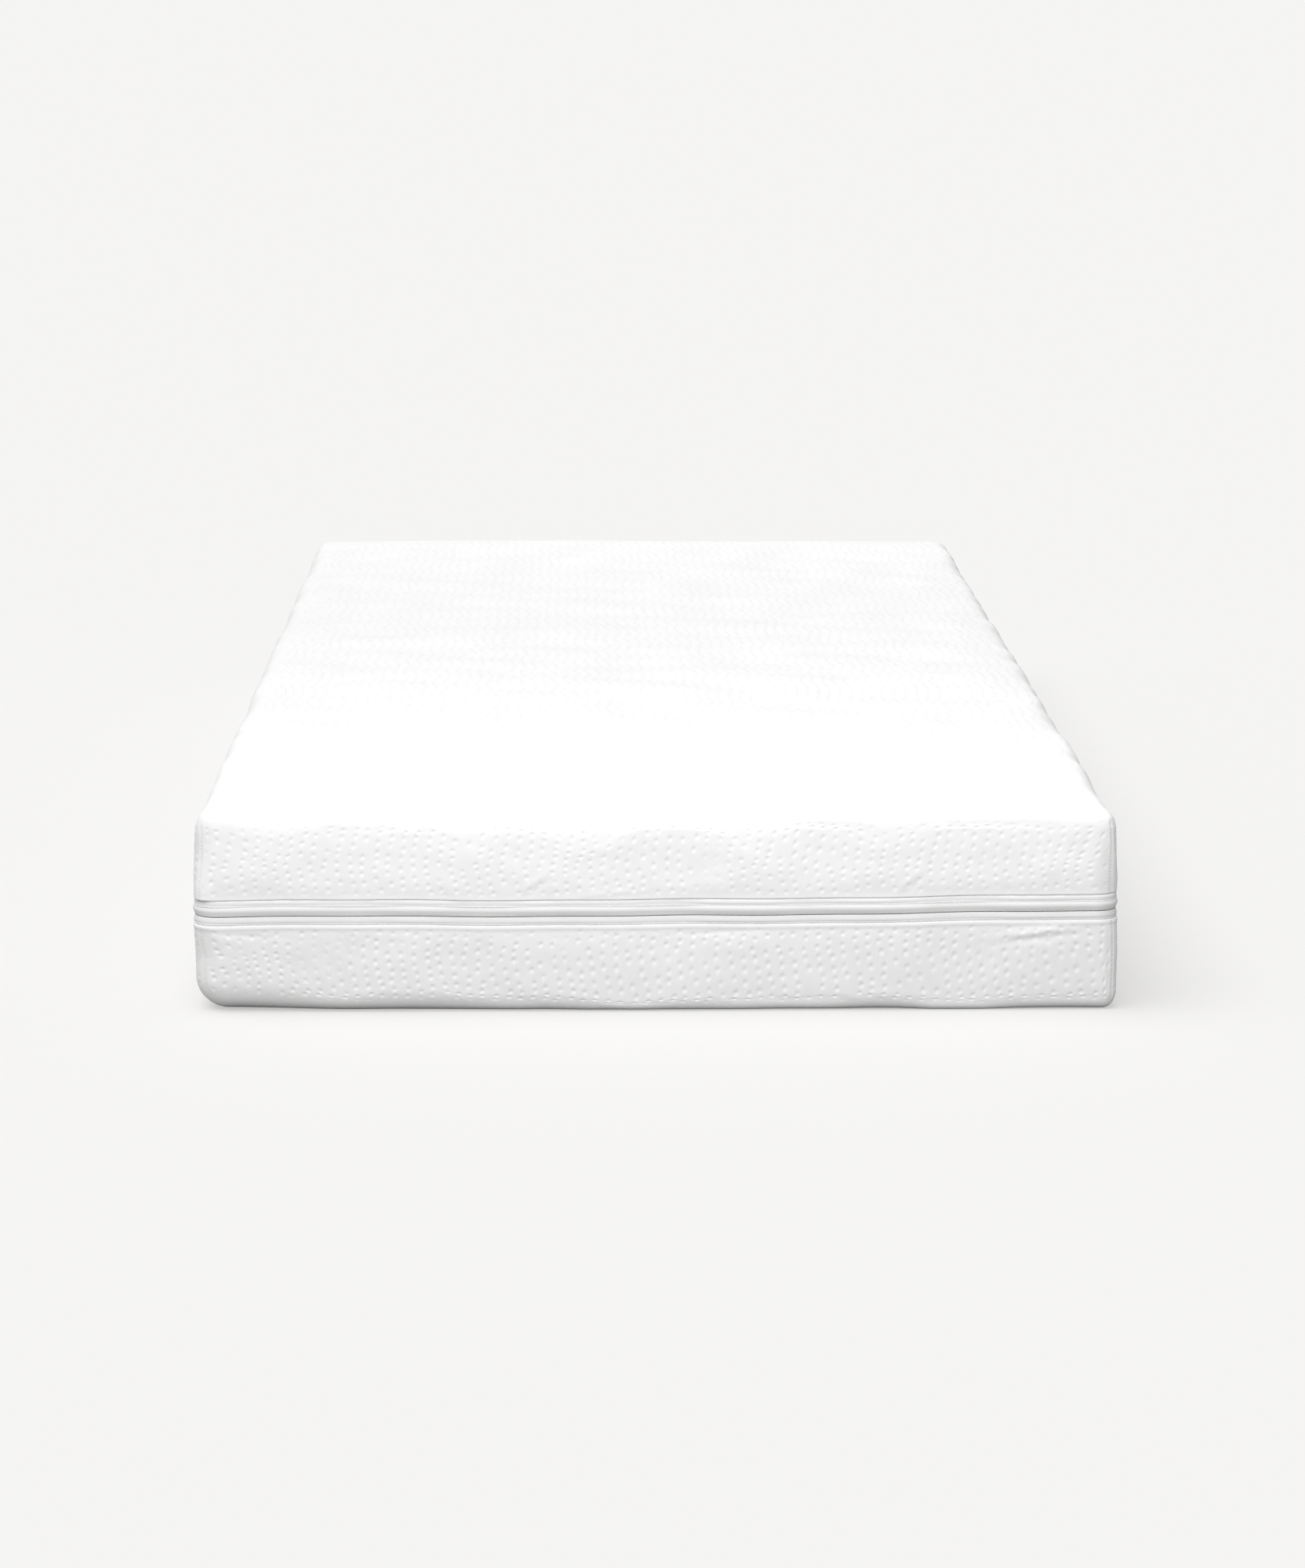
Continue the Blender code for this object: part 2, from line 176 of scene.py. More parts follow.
def band_shift(points):
    """How far the zip band wanders up or down: most at the front, and not at all at the back."""
    x, y = points[..., 0], points[..., 1]
    rise = 0.0026 * smooth(0.02, 0.40, x) - 0.0005 * bump(x + 0.05, 0.20)
    wander = 0.0005 * np.sin(x * 19 + 1.0) + 0.0003 * np.sin(x * 47)
    near_front = bump(y + HALF[1], 0.35)
    along_side = 0.0010 * np.sin(y * 5.3 + 2 * np.sign(x)) * smooth(0.97, 0.80, np.abs(y))
    return (rise + wander) * near_front + along_side


def edge_growth(points):
    """How much larger than the block's the edge radius is."""
    x, z = points[..., 0], points[..., 2]
    low = smooth(0.10, 0.05, z)
    near = 0.5 + 0.5 * smooth(-0.5, -0.9, points[..., 1])
    left = smooth(-0.28, -0.42, x)
    sharper = -0.009 + 0.0035 * BROAD(points)
    return near * low * (sharper + 0.014 * left) + 0.0035 * MEDIUM(points) * (1 - 0.6 * low)


def rounding(points, normals):
    """Movement that makes the edges rounder or sharper, with the flat cloth beside them."""
    place = points - MIDDLE
    reach = np.array([0.09, 0.09, 0.045])
    flat = HALF - RADIUS
    pulled = np.sign(place) * smooth(flat - reach, flat, np.abs(place))
    return edge_growth(points)[..., None] * (normals - pulled)


# Creases of the front border: place across, height, half length, half width, tilt, height of ridge
PUCKERS = (
    (0.372, 0.0765, 0.028, 0.0042, 7, 0.0014),
    (0.364, 0.0690, 0.030, 0.0034, 7, -0.0011),
    (0.244, 0.1290, 0.012, 0.0036, 42, 0.0005),
    (0.250, 0.1240, 0.012, 0.0030, 42, -0.0004),
    (-0.118, 0.1300, 0.013, 0.0036, 35, 0.0005),
    (-0.112, 0.1250, 0.013, 0.0030, 35, -0.0004),
    (0.060, 0.0790, 0.034, 0.0022, 3, -0.0006),
    (-0.395, 0.0770, 0.030, 0.0024, -4, -0.0006),
    (-0.050, 0.1180, 0.030, 0.0028, 6, 0.0005),
)


def puckers(points, normals):
    total = np.zeros(points.shape[:-1])
    on_front = smooth(0.6, 0.95, -normals[..., 1])
    for x, z, half_length, half_width, tilt, height in PUCKERS:
        across, up = points[..., 0] - x, points[..., 2] - z
        c, s = math.cos(math.radians(tilt)), math.sin(math.radians(tilt))
        along, off = across * c + up * s, up * c - across * s
        total += height * bump(along, half_length) * bump(off, half_width)
    return total * on_front


# How far the border leans in away from its hem: on every side, and what the ends add
LEAN_UPPER = (0.0038, 0.0032)
LEAN_LOWER = (0.0014, 0.0028)


def relief(points, normals, swell):
    """How far the cover's outer face stands out of the block's, without the dimples."""
    z = points[..., 2]
    wall = 1 - normals[..., 2] ** 2  # 1 on the border, 0 on the flat faces
    up = np.clip(normals[..., 2], 0, 1)
    hem = np.where(z > HALF[2], UPPER_HEM, LOWER_HEM)
    away = np.clip(np.abs(z - hem) / (HALF[2] - RADIUS / 2), 0, 1)
    facing = normals[..., 1] ** 2
    lean = np.where(
        z > HALF[2], LEAN_UPPER[0] + LEAN_UPPER[1] * facing, LEAN_LOWER[0] + LEAN_LOWER[1] * facing
    )
    off_band = 1 - wall + wall * smooth(0.015, 0.040, np.abs(z - HALF[2]))
    out = -SLACK * np.sqrt(np.clip(wall, 0, 1)) + swell * off_band
    out -= np.where(z > HALF[2], 0.0009, 0.0006) * bump(z - hem, 0.008) * wall
    out -= lean * wall * away
    out += 0.0004 * MEDIUM(points) * wall * off_band
    out += 0.0008 * BROAD(points) * up + 0.0006 * MEDIUM(points) * up
    out += puckers(points, normals)
    return out


def lay(points, normals, out):
    """The cover's points: moved outwards, with rounder edges, and up or down with the zip band."""
    near_band = smooth(0.075, 0.020, np.abs(points[..., 2] - HALF[2]))
    moved = points + out[..., None] * normals + rounding(points, normals)
    moved[..., 2] += band_shift(points) * near_band
    return moved


# ---------------------------------------------------------------- cloth simulation

SIM_CELLS = {0: 30, 1: 66, 2: 12}
SIM_FRAMES = 20
HELD_BAND = 0.006  # vertices this near the zip's level are held
HELD_FACING = -0.75  # and those whose normals point down more than this
FREE_HOLD, FREE_HOLD_CHANGE = 0.32, 0.05  # how much the others are held


def quads_of(index):
    """The quads of a grid of vertex indices."""
    corners = (index[:-1, :-1], index[1:, :-1], index[1:, 1:], index[:-1, 1:])
    return np.stack([c.ravel() for c in corners], 1)


class Weld:
    """Numbers the points of several grids, with one number where sides meet."""

    def __init__(self):
        self.where, self.kept = {}, []

    def add(self, points, *values):
        """Indices of a grid's points. The values of each new point are kept with it."""
        index = np.empty(points.shape[:2], int)
        for spot in np.ndindex(index.shape):
            key = tuple(np.round(points[spot], 5) + 0.0)
            if key not in self.where:
                self.where[key] = len(self.kept)
                self.kept.append([value[spot] for value in values])
            index[spot] = self.where[key]
        return index

    def values(self):
        return [np.array(column) for column in zip(*self.kept)]


def coarse_grid(face):
    ends = []
    for axis in map(axis_of, FACES[face][:2]):
        ends.append(np.linspace(-unrolled(axis), unrolled(axis), SIM_CELLS[axis] + 1))
    return np.meshgrid(*ends, indexing="ij")


def add_object(name, data):
    obj = bpy.data.objects.new(name, data)
    bpy.context.scene.collection.objects.link(obj)
    return obj


def simulate():
    """Swells a coarse copy of the cover. Gives each side's outward movement on its grid."""
    weld, grids, quads = Weld(), {}, []
    for face in FACES:
        points, normals = block(face, *coarse_grid(face))
        grids[face] = weld.add(points, points, normals)
        quads += quads_of(grids[face]).tolist()
    places, normals_at = weld.values()
    mesh = bpy.data.meshes.new("cover_simulation")
    mesh.from_pydata(places.tolist(), [], quads)
    obj = add_object("cover_simulation", mesh)
    held = obj.vertex_groups.new(name="held")
    band = np.abs(places[:, 2] - HALF[2]) < HELD_BAND
    floor = normals_at[:, 2] < HELD_FACING
    held.add(np.nonzero(band | floor)[0].tolist(), 1.0, "REPLACE")
    softness = MEDIUM(places)
    for vertex in np.nonzero(~(band | floor))[0]:
        weight = FREE_HOLD - FREE_HOLD_CHANGE * float(softness[vertex])
        held.add([int(vertex)], weight, "REPLACE")
    cloth = obj.modifiers.new("Cloth", "CLOTH")
    settings = cloth.settings
    settings.quality = 5
    settings.mass = 0.4
    settings.tension_stiffness = settings.compression_stiffness = 25
    settings.shear_stiffness = 8
    settings.bending_stiffness = 2
    settings.use_pressure = True
    settings.uniform_pressure_force = 2
    settings.pin_stiffness = 1
    settings.vertex_group_mass = "held"
    settings.effector_weights.gravity = 0
    cloth.collision_settings.use_collision = False
    for number in range(1, SIM_FRAMES + 1):
        bpy.context.scene.frame_set(number)
    evaluated = obj.evaluated_get(bpy.context.evaluated_depsgraph_get())
    swollen = np.empty(len(places) * 3)
    evaluated.data.vertices.foreach_get("co", swollen)
    bpy.context.scene.frame_set(1)
    moved = ((swollen.reshape(-1, 3) - places) * normals_at).sum(1)
    bpy.data.objects.remove(obj, do_unlink=True)
    up = np.clip(normals_at[:, 2], 0, 1)
    limit = SWELL_LIMIT + (CROWN_LIMIT - SWELL_LIMIT) * up
    moved = limit * np.tanh(moved / limit)
    return {face: moved[index] for face, index in grids.items()}


SWELLING = simulate()


def cubic(values, position):
    """Weights and indices of a Catmull-Rom curve through evenly spaced values."""
    last = values - 1
    cell = np.clip(np.floor(position).astype(int), 0, last - 1)
    t = position - cell
    weights = (
        ((-t + 2) * t - 1) * t / 2,
        ((3 * t - 5) * t * t + 2) / 2,
        ((-3 * t + 4) * t + 1) * t / 2,
        (t - 1) * t * t / 2,
    )
    return [(np.clip(cell + k - 1, 0, last), weights[k]) for k in range(4)]


def swelling(face, across, up):
    """The simulated movement, read smoothly at one-dimensional cloth coordinates."""
    grid = SWELLING[face]
    spots = []
    for values, axis in zip((across, up), map(axis_of, FACES[face])):
        half, cells = unrolled(axis), SIM_CELLS[axis]
        spots.append(cubic(cells + 1, (values + half) / (2 * half) * cells))
    total = np.zeros((len(across), len(up)))
    for i, weight_i in spots[0]:
        for j, weight_j in spots[1]:
            total += grid[np.ix_(i, j)] * weight_i[:, None] * weight_j[None, :]
    return total


# ---------------------------------------------------------------- dimples

def zigzag(value):
    """A triangle wave from -1 to 1 with a period of 1."""
    return 4 * np.abs(value - np.floor(value + 0.5)) - 1


def dimples(across, up, salt):
    """Depth of the pin dimples at cloth coordinates, as a share of their full depth.

    They stand in columns, and their rows climb and fall in a herringbone. The centre of the
    nearest one is found in the even lattice, and moved back into the cloth, so it stays round.
    """
    at = np.stack([across, up * 0.5, np.full_like(across, 0.37 * salt)], -1)
    drift = 0.07 * BROAD(at)

    def climb(u):
        return 0.017 * zigzag(u / 0.180 + 0.13 * salt + drift)

    def slide(v):
        return 0.0040 * zigzag(v / 0.070 + 0.31 * salt + drift)

    column = np.round((across + slide(up)) / DIMPLE_ACROSS)
    stagger = 0.45 * scatter(column, 0 * column, 5 + salt)
    row = np.round((up + climb(across)) / DIMPLE_UP + stagger)
    middle_u = (column + 0.26 * (scatter(column, row, 1 + salt) - 0.5)) * DIMPLE_ACROSS
    middle_v = (row - stagger + 0.30 * (scatter(column, row, 2 + salt) - 0.5)) * DIMPLE_UP
    centre_u, centre_v = across, up
    for _ in range(2):
        centre_v = middle_v - climb(centre_u)
        centre_u = middle_u - slide(centre_v)
    off_u, off_v = across - centre_u, up - centre_v
    at[..., 2] = 1.7 * salt
    keep = smooth(1.8, 1.35, PATCHES(at)) * (scatter(column, row, 3 + salt) > 0.05)
    size = 0.70 + 0.45 * scatter(column, row, 4 + salt)
    rim = 1 - (off_u / DIMPLE_REACH_ACROSS) ** 2 - (off_v / DIMPLE_REACH_UP) ** 2
    pit = np.clip(rim, 0, 1) ** 2
    return pit * size * keep


# ---------------------------------------------------------------- meshes

def link(name, mesh, material):
    mesh.materials.append(material)
    return add_object(name, mesh)


def mesh_from_arrays(name, points, quads, uv=None, normals=None):
    mesh = bpy.data.meshes.new(name)
    mesh.vertices.add(len(points))
    mesh.vertices.foreach_set("co", points.astype(np.float32).ravel())
    mesh.loops.add(quads.size)
    mesh.loops.foreach_set("vertex_index", quads.astype(np.int32).ravel())
    mesh.polygons.add(len(quads))
    mesh.polygons.foreach_set("loop_start", np.arange(0, quads.size, 4, dtype=np.int32))
    mesh.update(calc_edges=True)
    mesh.polygons.foreach_set("use_smooth", np.ones(len(quads), bool))
    if uv is not None:
        layer = mesh.uv_layers.new(name="Cloth")
        layer.data.foreach_set("uv", uv[quads.ravel()].astype(np.float32).ravel())
    if normals is not None:
        mesh.normals_split_custom_set_from_vertices(normals.tolist())
    return mesh


def open_grid(name, points, uv, material):
    """A cloth patch from a grid with one extra line of points all round, used for normals."""
    along_u = points[2:, 1:-1] - points[:-2, 1:-1]
    along_v = points[1:-1, 2:] - points[1:-1, :-2]
    normals = np.cross(along_u, along_v).reshape(-1, 3)
    normals /= np.maximum(np.linalg.norm(normals, axis=1), 1e-12)[:, None]
    inner = points[1:-1, 1:-1]
    quads = quads_of(np.arange(inner.shape[0] * inner.shape[1]).reshape(inner.shape[:2]))
    flat_uv = uv[1:-1, 1:-1].reshape(-1, 2)
    mesh = mesh_from_arrays(name, inner.reshape(-1, 3), quads, flat_uv, normals)
    return link(name, mesh, material)


def steps(low, high, pitch):
    """Evenly spaced values from low to high, with one more beyond each end."""
    count = max(2, round((high - low) / pitch))
    gap = (high - low) / count
    return low + gap * np.arange(-1, count + 2)


def border_patch(name, face, half, pitch_across, pitch_up, material):
    """One side of the border of one half of the cover, with its hem rolled inwards."""
    axis, hem = axis_of(FACES[face][0]), HEMS[half]
    sign = 1 if half == "top" else -1  # from the hem towards the flat face
    across = steps(-unrolled(axis), unrolled(axis), pitch_across)
    edge = sign * unrolled(2)
    level = np.abs(np.array([edge, hem - HALF[2]]))
    order = (steps(level.min(), level.max(), pitch_up)[1:] * sign)[::sign]
    grid_u, grid_v = np.meshgrid(across, order, indexing="ij")
    points, normals = block(face, grid_u, grid_v)
    out = relief(points, normals, swelling(face, across, order))
    salt = float(list(FACES).index(face) + (6 if half == "top" else 0))
    seam_gap = smooth(unrolled(axis) - 0.003, unrolled(axis) - 0.010, np.abs(grid_u))
    hem_gap = smooth(0.0025, 0.0060, np.abs(points[..., 2] - hem))
    edge_gap = smooth(0.60, 0.20, np.abs(normals[..., 2]))
    depth = dimples(grid_u, grid_v, salt) * seam_gap * hem_gap * edge_gap
    out -= DIMPLE_DEPTH * DIMPLE_SHARE[half] * depth
    out += 0.00012 * FINE(points) * edge_gap
    from_seam = np.abs(grid_u) - unrolled(axis)
    out += smooth(unrolled(2) - 0.002, unrolled(2) - 0.012, np.abs(grid_v)) * (
        0.0002 * bump(from_seam + 0.0045, 0.0025) - SEAM_GROOVE * bump(from_seam, 0.0016)
    )
    if half == "bottom":
        out += 0.0007 * bump(points[..., 2] - hem + 0.0016, 0.0019)
    laid = lay(points, normals, out)
    laid, uv = add_hem(laid, normals, grid_u, grid_v, half)
    return open_grid(name, laid, uv, material), float(across[-2] - across[1])


HEM_RADIUS = 0.0011
HEM_TURNS = (30, 60, 90, 125, 160)  # degrees round the rolled edge
HEM_INSIDE = ((0.0024, -0.0006), (0.0027, -0.0022), (0.0030, -0.0040))  # inset, way back


def add_hem(laid, normals, grid_u, grid_v, half):
    """Carries a border patch round its hem and back inside, as a rolled edge."""
    down = -1 if half == "top" else 1
    last = 0 if half == "top" else laid.shape[1] - 1
    edge, outward = laid[:, last], normals[:, last]
    rolled = []
    for turn in np.radians(HEM_TURNS):
        inward = -HEM_RADIUS * (1 - math.cos(turn))
        drop = np.array([0.0, 0.0, down * HEM_RADIUS * math.sin(turn)])
        rolled.append(edge + inward * outward + drop)
    for inset, lift in HEM_INSIDE:
        rolled.append(edge - inset * outward + np.array([0.0, 0.0, down * lift]))
    rolled = np.stack(rolled, 1)
    extra = 0.0006 * np.arange(1, rolled.shape[1] + 1) * down
    extra_v = grid_v[:, last][:, None] + extra[None, :]
    extra_u = np.repeat(grid_u[:, :1], rolled.shape[1], 1)
    if half == "top":
        laid = np.concatenate([rolled[:, ::-1], laid], 1)
        u = np.concatenate([extra_u, grid_u], 1)
        v = np.concatenate([extra_v[:, ::-1], grid_v], 1)
    else:
        laid = np.concatenate([laid, rolled], 1)
        u = np.concatenate([grid_u, extra_u], 1)
        v = np.concatenate([grid_v, extra_v], 1)
    return laid, np.stack([u, v], -1)


def flat_patch(name, face, pitch, material):
    """The sleeping face or the underside."""
    across = steps(-unrolled(0), unrolled(0), pitch)
    along = steps(-unrolled(1), unrolled(1), pitch)
    grid_u, grid_v = np.meshgrid(across, along, indexing="ij")
    points, normals = block(face, grid_u, grid_v)
    out = relief(points, normals, swelling(face, across, along))
    laid = lay(points, normals, out)
    return open_grid(name, laid, np.stack([grid_u, grid_v], -1), material)


def half_shell(half, pitch):
    """One half of the cover, joined side to side: points, normals, swell, quads, hem's edges."""
    sign = 1 if half == "top" else -1
    low = abs(HEMS[half] - HALF[2])
    rows = max(2, round((unrolled(2) - low) / pitch))
    ends = [
        np.linspace(-unrolled(axis), unrolled(axis), round(2 * unrolled(axis) / pitch) + 1)
        for axis in (0, 1)
    ]
    weld, quads, hem_edges = Weld(), [], []
    for face in ("top" if half == "top" else "under", *BORDERS):
        columns_axis, rows_axis = map(axis_of, FACES[face][:2])
        across = ends[columns_axis]
        if rows_axis == 2:
            up = sign * np.linspace(low, unrolled(2), rows + 1)[::sign]
        else:
            up = ends[1]
        points, normals = block(face, *np.meshgrid(across, up, indexing="ij"))
        index = weld.add(points, points, normals, swelling(face, across, up))
        quads.append(quads_of(index))
        if rows_axis == 2:
            edge = index[:, 0] if half == "top" else index[::-1, -1]
            hem_edges.append(np.stack([edge[:-1], edge[1:]], 1))
    return *weld.values(), np.concatenate(quads), np.concatenate(hem_edges)


def lining(name, half, pitch, material, padded):
    """Wadding or backing of one half of the cover: a closed shell between two depths."""
    points, normals, swell, quads, edges = half_shell(half, pitch)
    if padded:
        face = np.minimum(relief(points, normals, swell), 0.0)
        face -= 0.0016 * bump(points[:, 2] - HEMS[half], 0.007)  # thinner behind the hem
        deepest = WADDING_THINNEST - WADDING_INNER
        outside = lay(points, normals, np.maximum(face - WADDING_OUTER, deepest))
        inside = points - WADDING_INNER * normals
    else:
        outside = points - BACKING_OUTER * normals
        inside = points - BACKING_INNER * normals
    count = len(points)
    rim = np.stack([edges[:, 1], edges[:, 0], edges[:, 0] + count, edges[:, 1] + count], 1)
    every = np.concatenate([quads, quads[:, ::-1] + count, rim])
    mesh = mesh_from_arrays(name, np.concatenate([outside, inside]), every)
    return link(name, mesh, material)


# ---------------------------------------------------------------- rings round the border

CORNER_CELLS = 14


def at_band(places):
    """Points at the zip's level over or under places on the floor."""
    return np.concatenate([places, np.full((len(places), 1), HALF[2])], 1)


def perimeter(pitch):
    """Points, outward directions and lengths along the border at face level, anticlockwise.

    It starts at the middle of the +Y side and goes towards -X.
    """
    places, outward = [], []
    flat = HALF[:2] - RADIUS
    sides = (
        ((0.0, 1.0), (-1.0, 0.0), 0.0, flat[0]),
        ((-1.0, 0.0), (0.0, -1.0), -flat[1], flat[1]),
        ((0.0, -1.0), (1.0, 0.0), -flat[0], flat[0]),
        ((1.0, 0.0), (0.0, 1.0), -flat[1], flat[1]),
        ((0.0, 1.0), (-1.0, 0.0), -flat[0], 0.0),
    )
    for number, (out, way, start, end) in enumerate(sides):
        out, way = np.array(out), np.array(way)
        reach = HALF[0] if out[1] == 0 else HALF[1]
        for t in np.linspace(start, end, max(2, round((end - start) / pitch)), endpoint=False):
            places.append(out * reach + way * t)
            outward.append(out)
        if number < 4:
            centre = out * (reach - RADIUS) + way * end
            for step in range(CORNER_CELLS):
                turn = math.pi / 2 * step / CORNER_CELLS
                direction = out * math.cos(turn) + way * math.sin(turn)
                places.append(centre + RADIUS * direction)
                outward.append(direction)
    places, outward = np.array(places), np.array(outward)
    gaps = np.linalg.norm(np.roll(places, -1, 0) - places, axis=1)
    return places, outward, np.concatenate([[0.0], np.cumsum(gaps)])


def back_calm(places):
    """0 on the +Y side, where the slider and its tab need room, and 1 elsewhere."""
    return 1 - smooth(HALF[1] - 0.030, HALF[1] - 0.004, places[:, 1])


def wrapped(columns, rows):
    """Vertex indices of a tube's grid, with its first line of points once more at the end."""
    index = np.arange(columns * rows).reshape(columns, rows)
    return np.concatenate([index, index[:, :1]], 1)


def ring(name, profile, pitch, material, wander=0.0):
    """A closed profile swept round the border.

    Each point is (outset, height), or (outset, height, swell, rise) where it also swells out
    and rises wherever there is room.
    """
    places, outward, _ = perimeter(pitch)
    level = at_band(places)
    room, lift, uneven = back_calm(places), band_shift(level), wander * MEDIUM(level)
    spots = np.zeros((len(places), len(profile), 3))
    for k, point in enumerate(profile):
        outset, height, swell, rise = (*point, 0.0, 0.0)[:4]
        out = outset + room * (swell + uneven * (0.4 + (swell > 0)))
        spots[:, k, :2] = places + outward * out[:, None]
        spots[:, k, 2] = height + rise * room + lift
    index = wrapped(*spots.shape[:2])
    index = np.concatenate([index, index[:1]], 0)
    mesh = mesh_from_arrays(name, spots.reshape(-1, 3), quads_of(index))
    return link(name, mesh, material)


def along_border(distance, outset, height):
    """Points on the border at distances along it, with the direction out and along."""
    places, outward, lengths = PATH
    distance = np.mod(distance, lengths[-1])
    at, out = (
        np.stack([np.interp(distance, lengths, [*line, line[0]]) for line in lines.T], 1)
        for lines in (places, outward)
    )
    out /= np.linalg.norm(out, axis=1)[:, None]
    lift = height + band_shift(at_band(at))
    points = np.concatenate([at + out * outset[:, None], lift[:, None]], 1)
    out3 = np.concatenate([out, np.zeros((len(out), 1))], 1)
    along = np.stack([-out[:, 1], out[:, 0], np.zeros(len(out))], 1)
    return points, out3, along


PATH = perimeter(0.004)  # what the coils and stitches follow
TOTAL = PATH[2][-1]


def distance_at_back(x):
    """Distance along the border of a place on the +Y side."""
    return -x if x <= 0 else TOTAL - x


def threads(name, centres, along, out, length, radius, material):
    """Short threads, each dipping into the cloth at its ends. Directions are for each thread."""
    offsets = np.array([-0.46, -0.30, 0.0, 0.30, 0.46]) * length
    dips = np.array([-0.00055, -0.00005, 0.00010, -0.00005, -0.00055])
    sizes = np.array([0.55, 1.0, 1.1, 1.0, 0.55]) * radius
    sides = 6
    beside = np.cross(along, out)
    rings = []
    for offset, dip, size in zip(offsets, dips, sizes):
        for side in range(sides):
            turn = 2 * math.pi * side / sides
            round_thread = size * (math.cos(turn) * out + math.sin(turn) * beside)
            rings.append(centres + offset * along + dip * out + round_thread)
    points = np.stack(rings, 1)
    index = wrapped(len(offsets), sides)
    body = quads_of(index)
    first, last = index[0], index[-1]
    caps = [first[[3, 2, 1, 0]], first[[5, 4, 3, 0]], last[[0, 1, 2, 3]], last[[0, 3, 4, 5]]]
    quads = np.concatenate([body, np.array(caps)])
    every = (np.arange(len(centres))[:, None, None] * points.shape[1] + quads[None]).reshape(-1, 4)
    return link(name, mesh_from_arrays(name, points.reshape(-1, 3), every), material)


def seam_round_border(name, outset, height, material, pitch=0.0032, radius=0.00034):
    """A row of stitches round the border, from one side of the zip's end tab to the other."""
    start = distance_at_back(TAB_LOW.x) - TOTAL
    count = int((distance_at_back(TAB_HIGH.x) - start) / pitch)
    distances = start + pitch * (np.arange(count) + 0.5)
    centres, out, along = along_border(distances, np.full(count, outset), np.full(count, height))
    return threads(name, centres, along, out, pitch, radius, material)


def corner_seam(name, half, face, side, material):
    """Stitches down a corner of the border, in the groove where two sides of the knit meet."""
    low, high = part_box(f"{half}_corner_seam_{name}")
    pitch = 0.0035
    heights = np.arange(low.z + pitch / 2, high.z, pitch)
    edge = np.full(len(heights), side * unrolled(axis_of(FACES[face][0])))
    points, normals = block(face, edge, heights - HALF[2])
    row = heights - HALF[2]
    swell = swelling(face, np.array([edge[0]]), row)[0]
    out = relief(points, normals, swell) + 0.0001 - SEAM_GROOVE
    laid = lay(points, normals, out)
    along = np.gradient(laid, axis=0)
    along /= np.linalg.norm(along, axis=1)[:, None]
    return threads(f"{half}_seam_{name}", laid, along, normals, pitch, 0.00036, material)


def coil(name, material):
    """One half of the zip chain: a nylon thread wound into turns."""
    low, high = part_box(name.replace("coil", "zip_coil"))
    level = (low.z + high.z) / 2
    inset = HALF[1] - (high.y - (high.z - low.z) / 2)
    pitch, points_each, sides, radius = 0.0018, 8, 4, 0.00034
    start = distance_at_back(COIL_START) - TOTAL
    end = distance_at_back(COIL_END)
    turns = int((end - start) / pitch)
    t = np.arange(turns * points_each + 1) / points_each
    turn = 2 * math.pi * t
    reach = (high.z - low.z) / 2 - radius
    outset = -inset + 0.85 * reach * np.cos(turn)
    height = level + reach * np.sin(turn)
    centre, _, along = along_border(start + t * pitch, outset, height)
    tangent = np.gradient(centre, axis=0)
    tangent /= np.linalg.norm(tangent, axis=1)[:, None]
    first = np.cross(tangent, along)
    first /= np.maximum(np.linalg.norm(first, axis=1), 1e-9)[:, None]
    second = np.cross(tangent, first)
    around = [
        centre + radius * (math.cos(a) * first + math.sin(a) * second)
        for a in np.arange(sides) * 2 * math.pi / sides
    ]
    tube = np.stack(around + around[:1], 1)
    index = wrapped(len(centre), sides)
    quads = quads_of(index)
    caps = np.array([[3, 2, 1, 0], index[-1, :4].tolist()])
    mesh = mesh_from_arrays(name, tube[:, :-1].reshape(-1, 3), np.concatenate([quads, caps]))
    return link(name, mesh, material)


# ---------------------------------------------------------------- materials

def set_inputs(node, values):
    for name, value in values.items():
        node.inputs[name].default_value = value


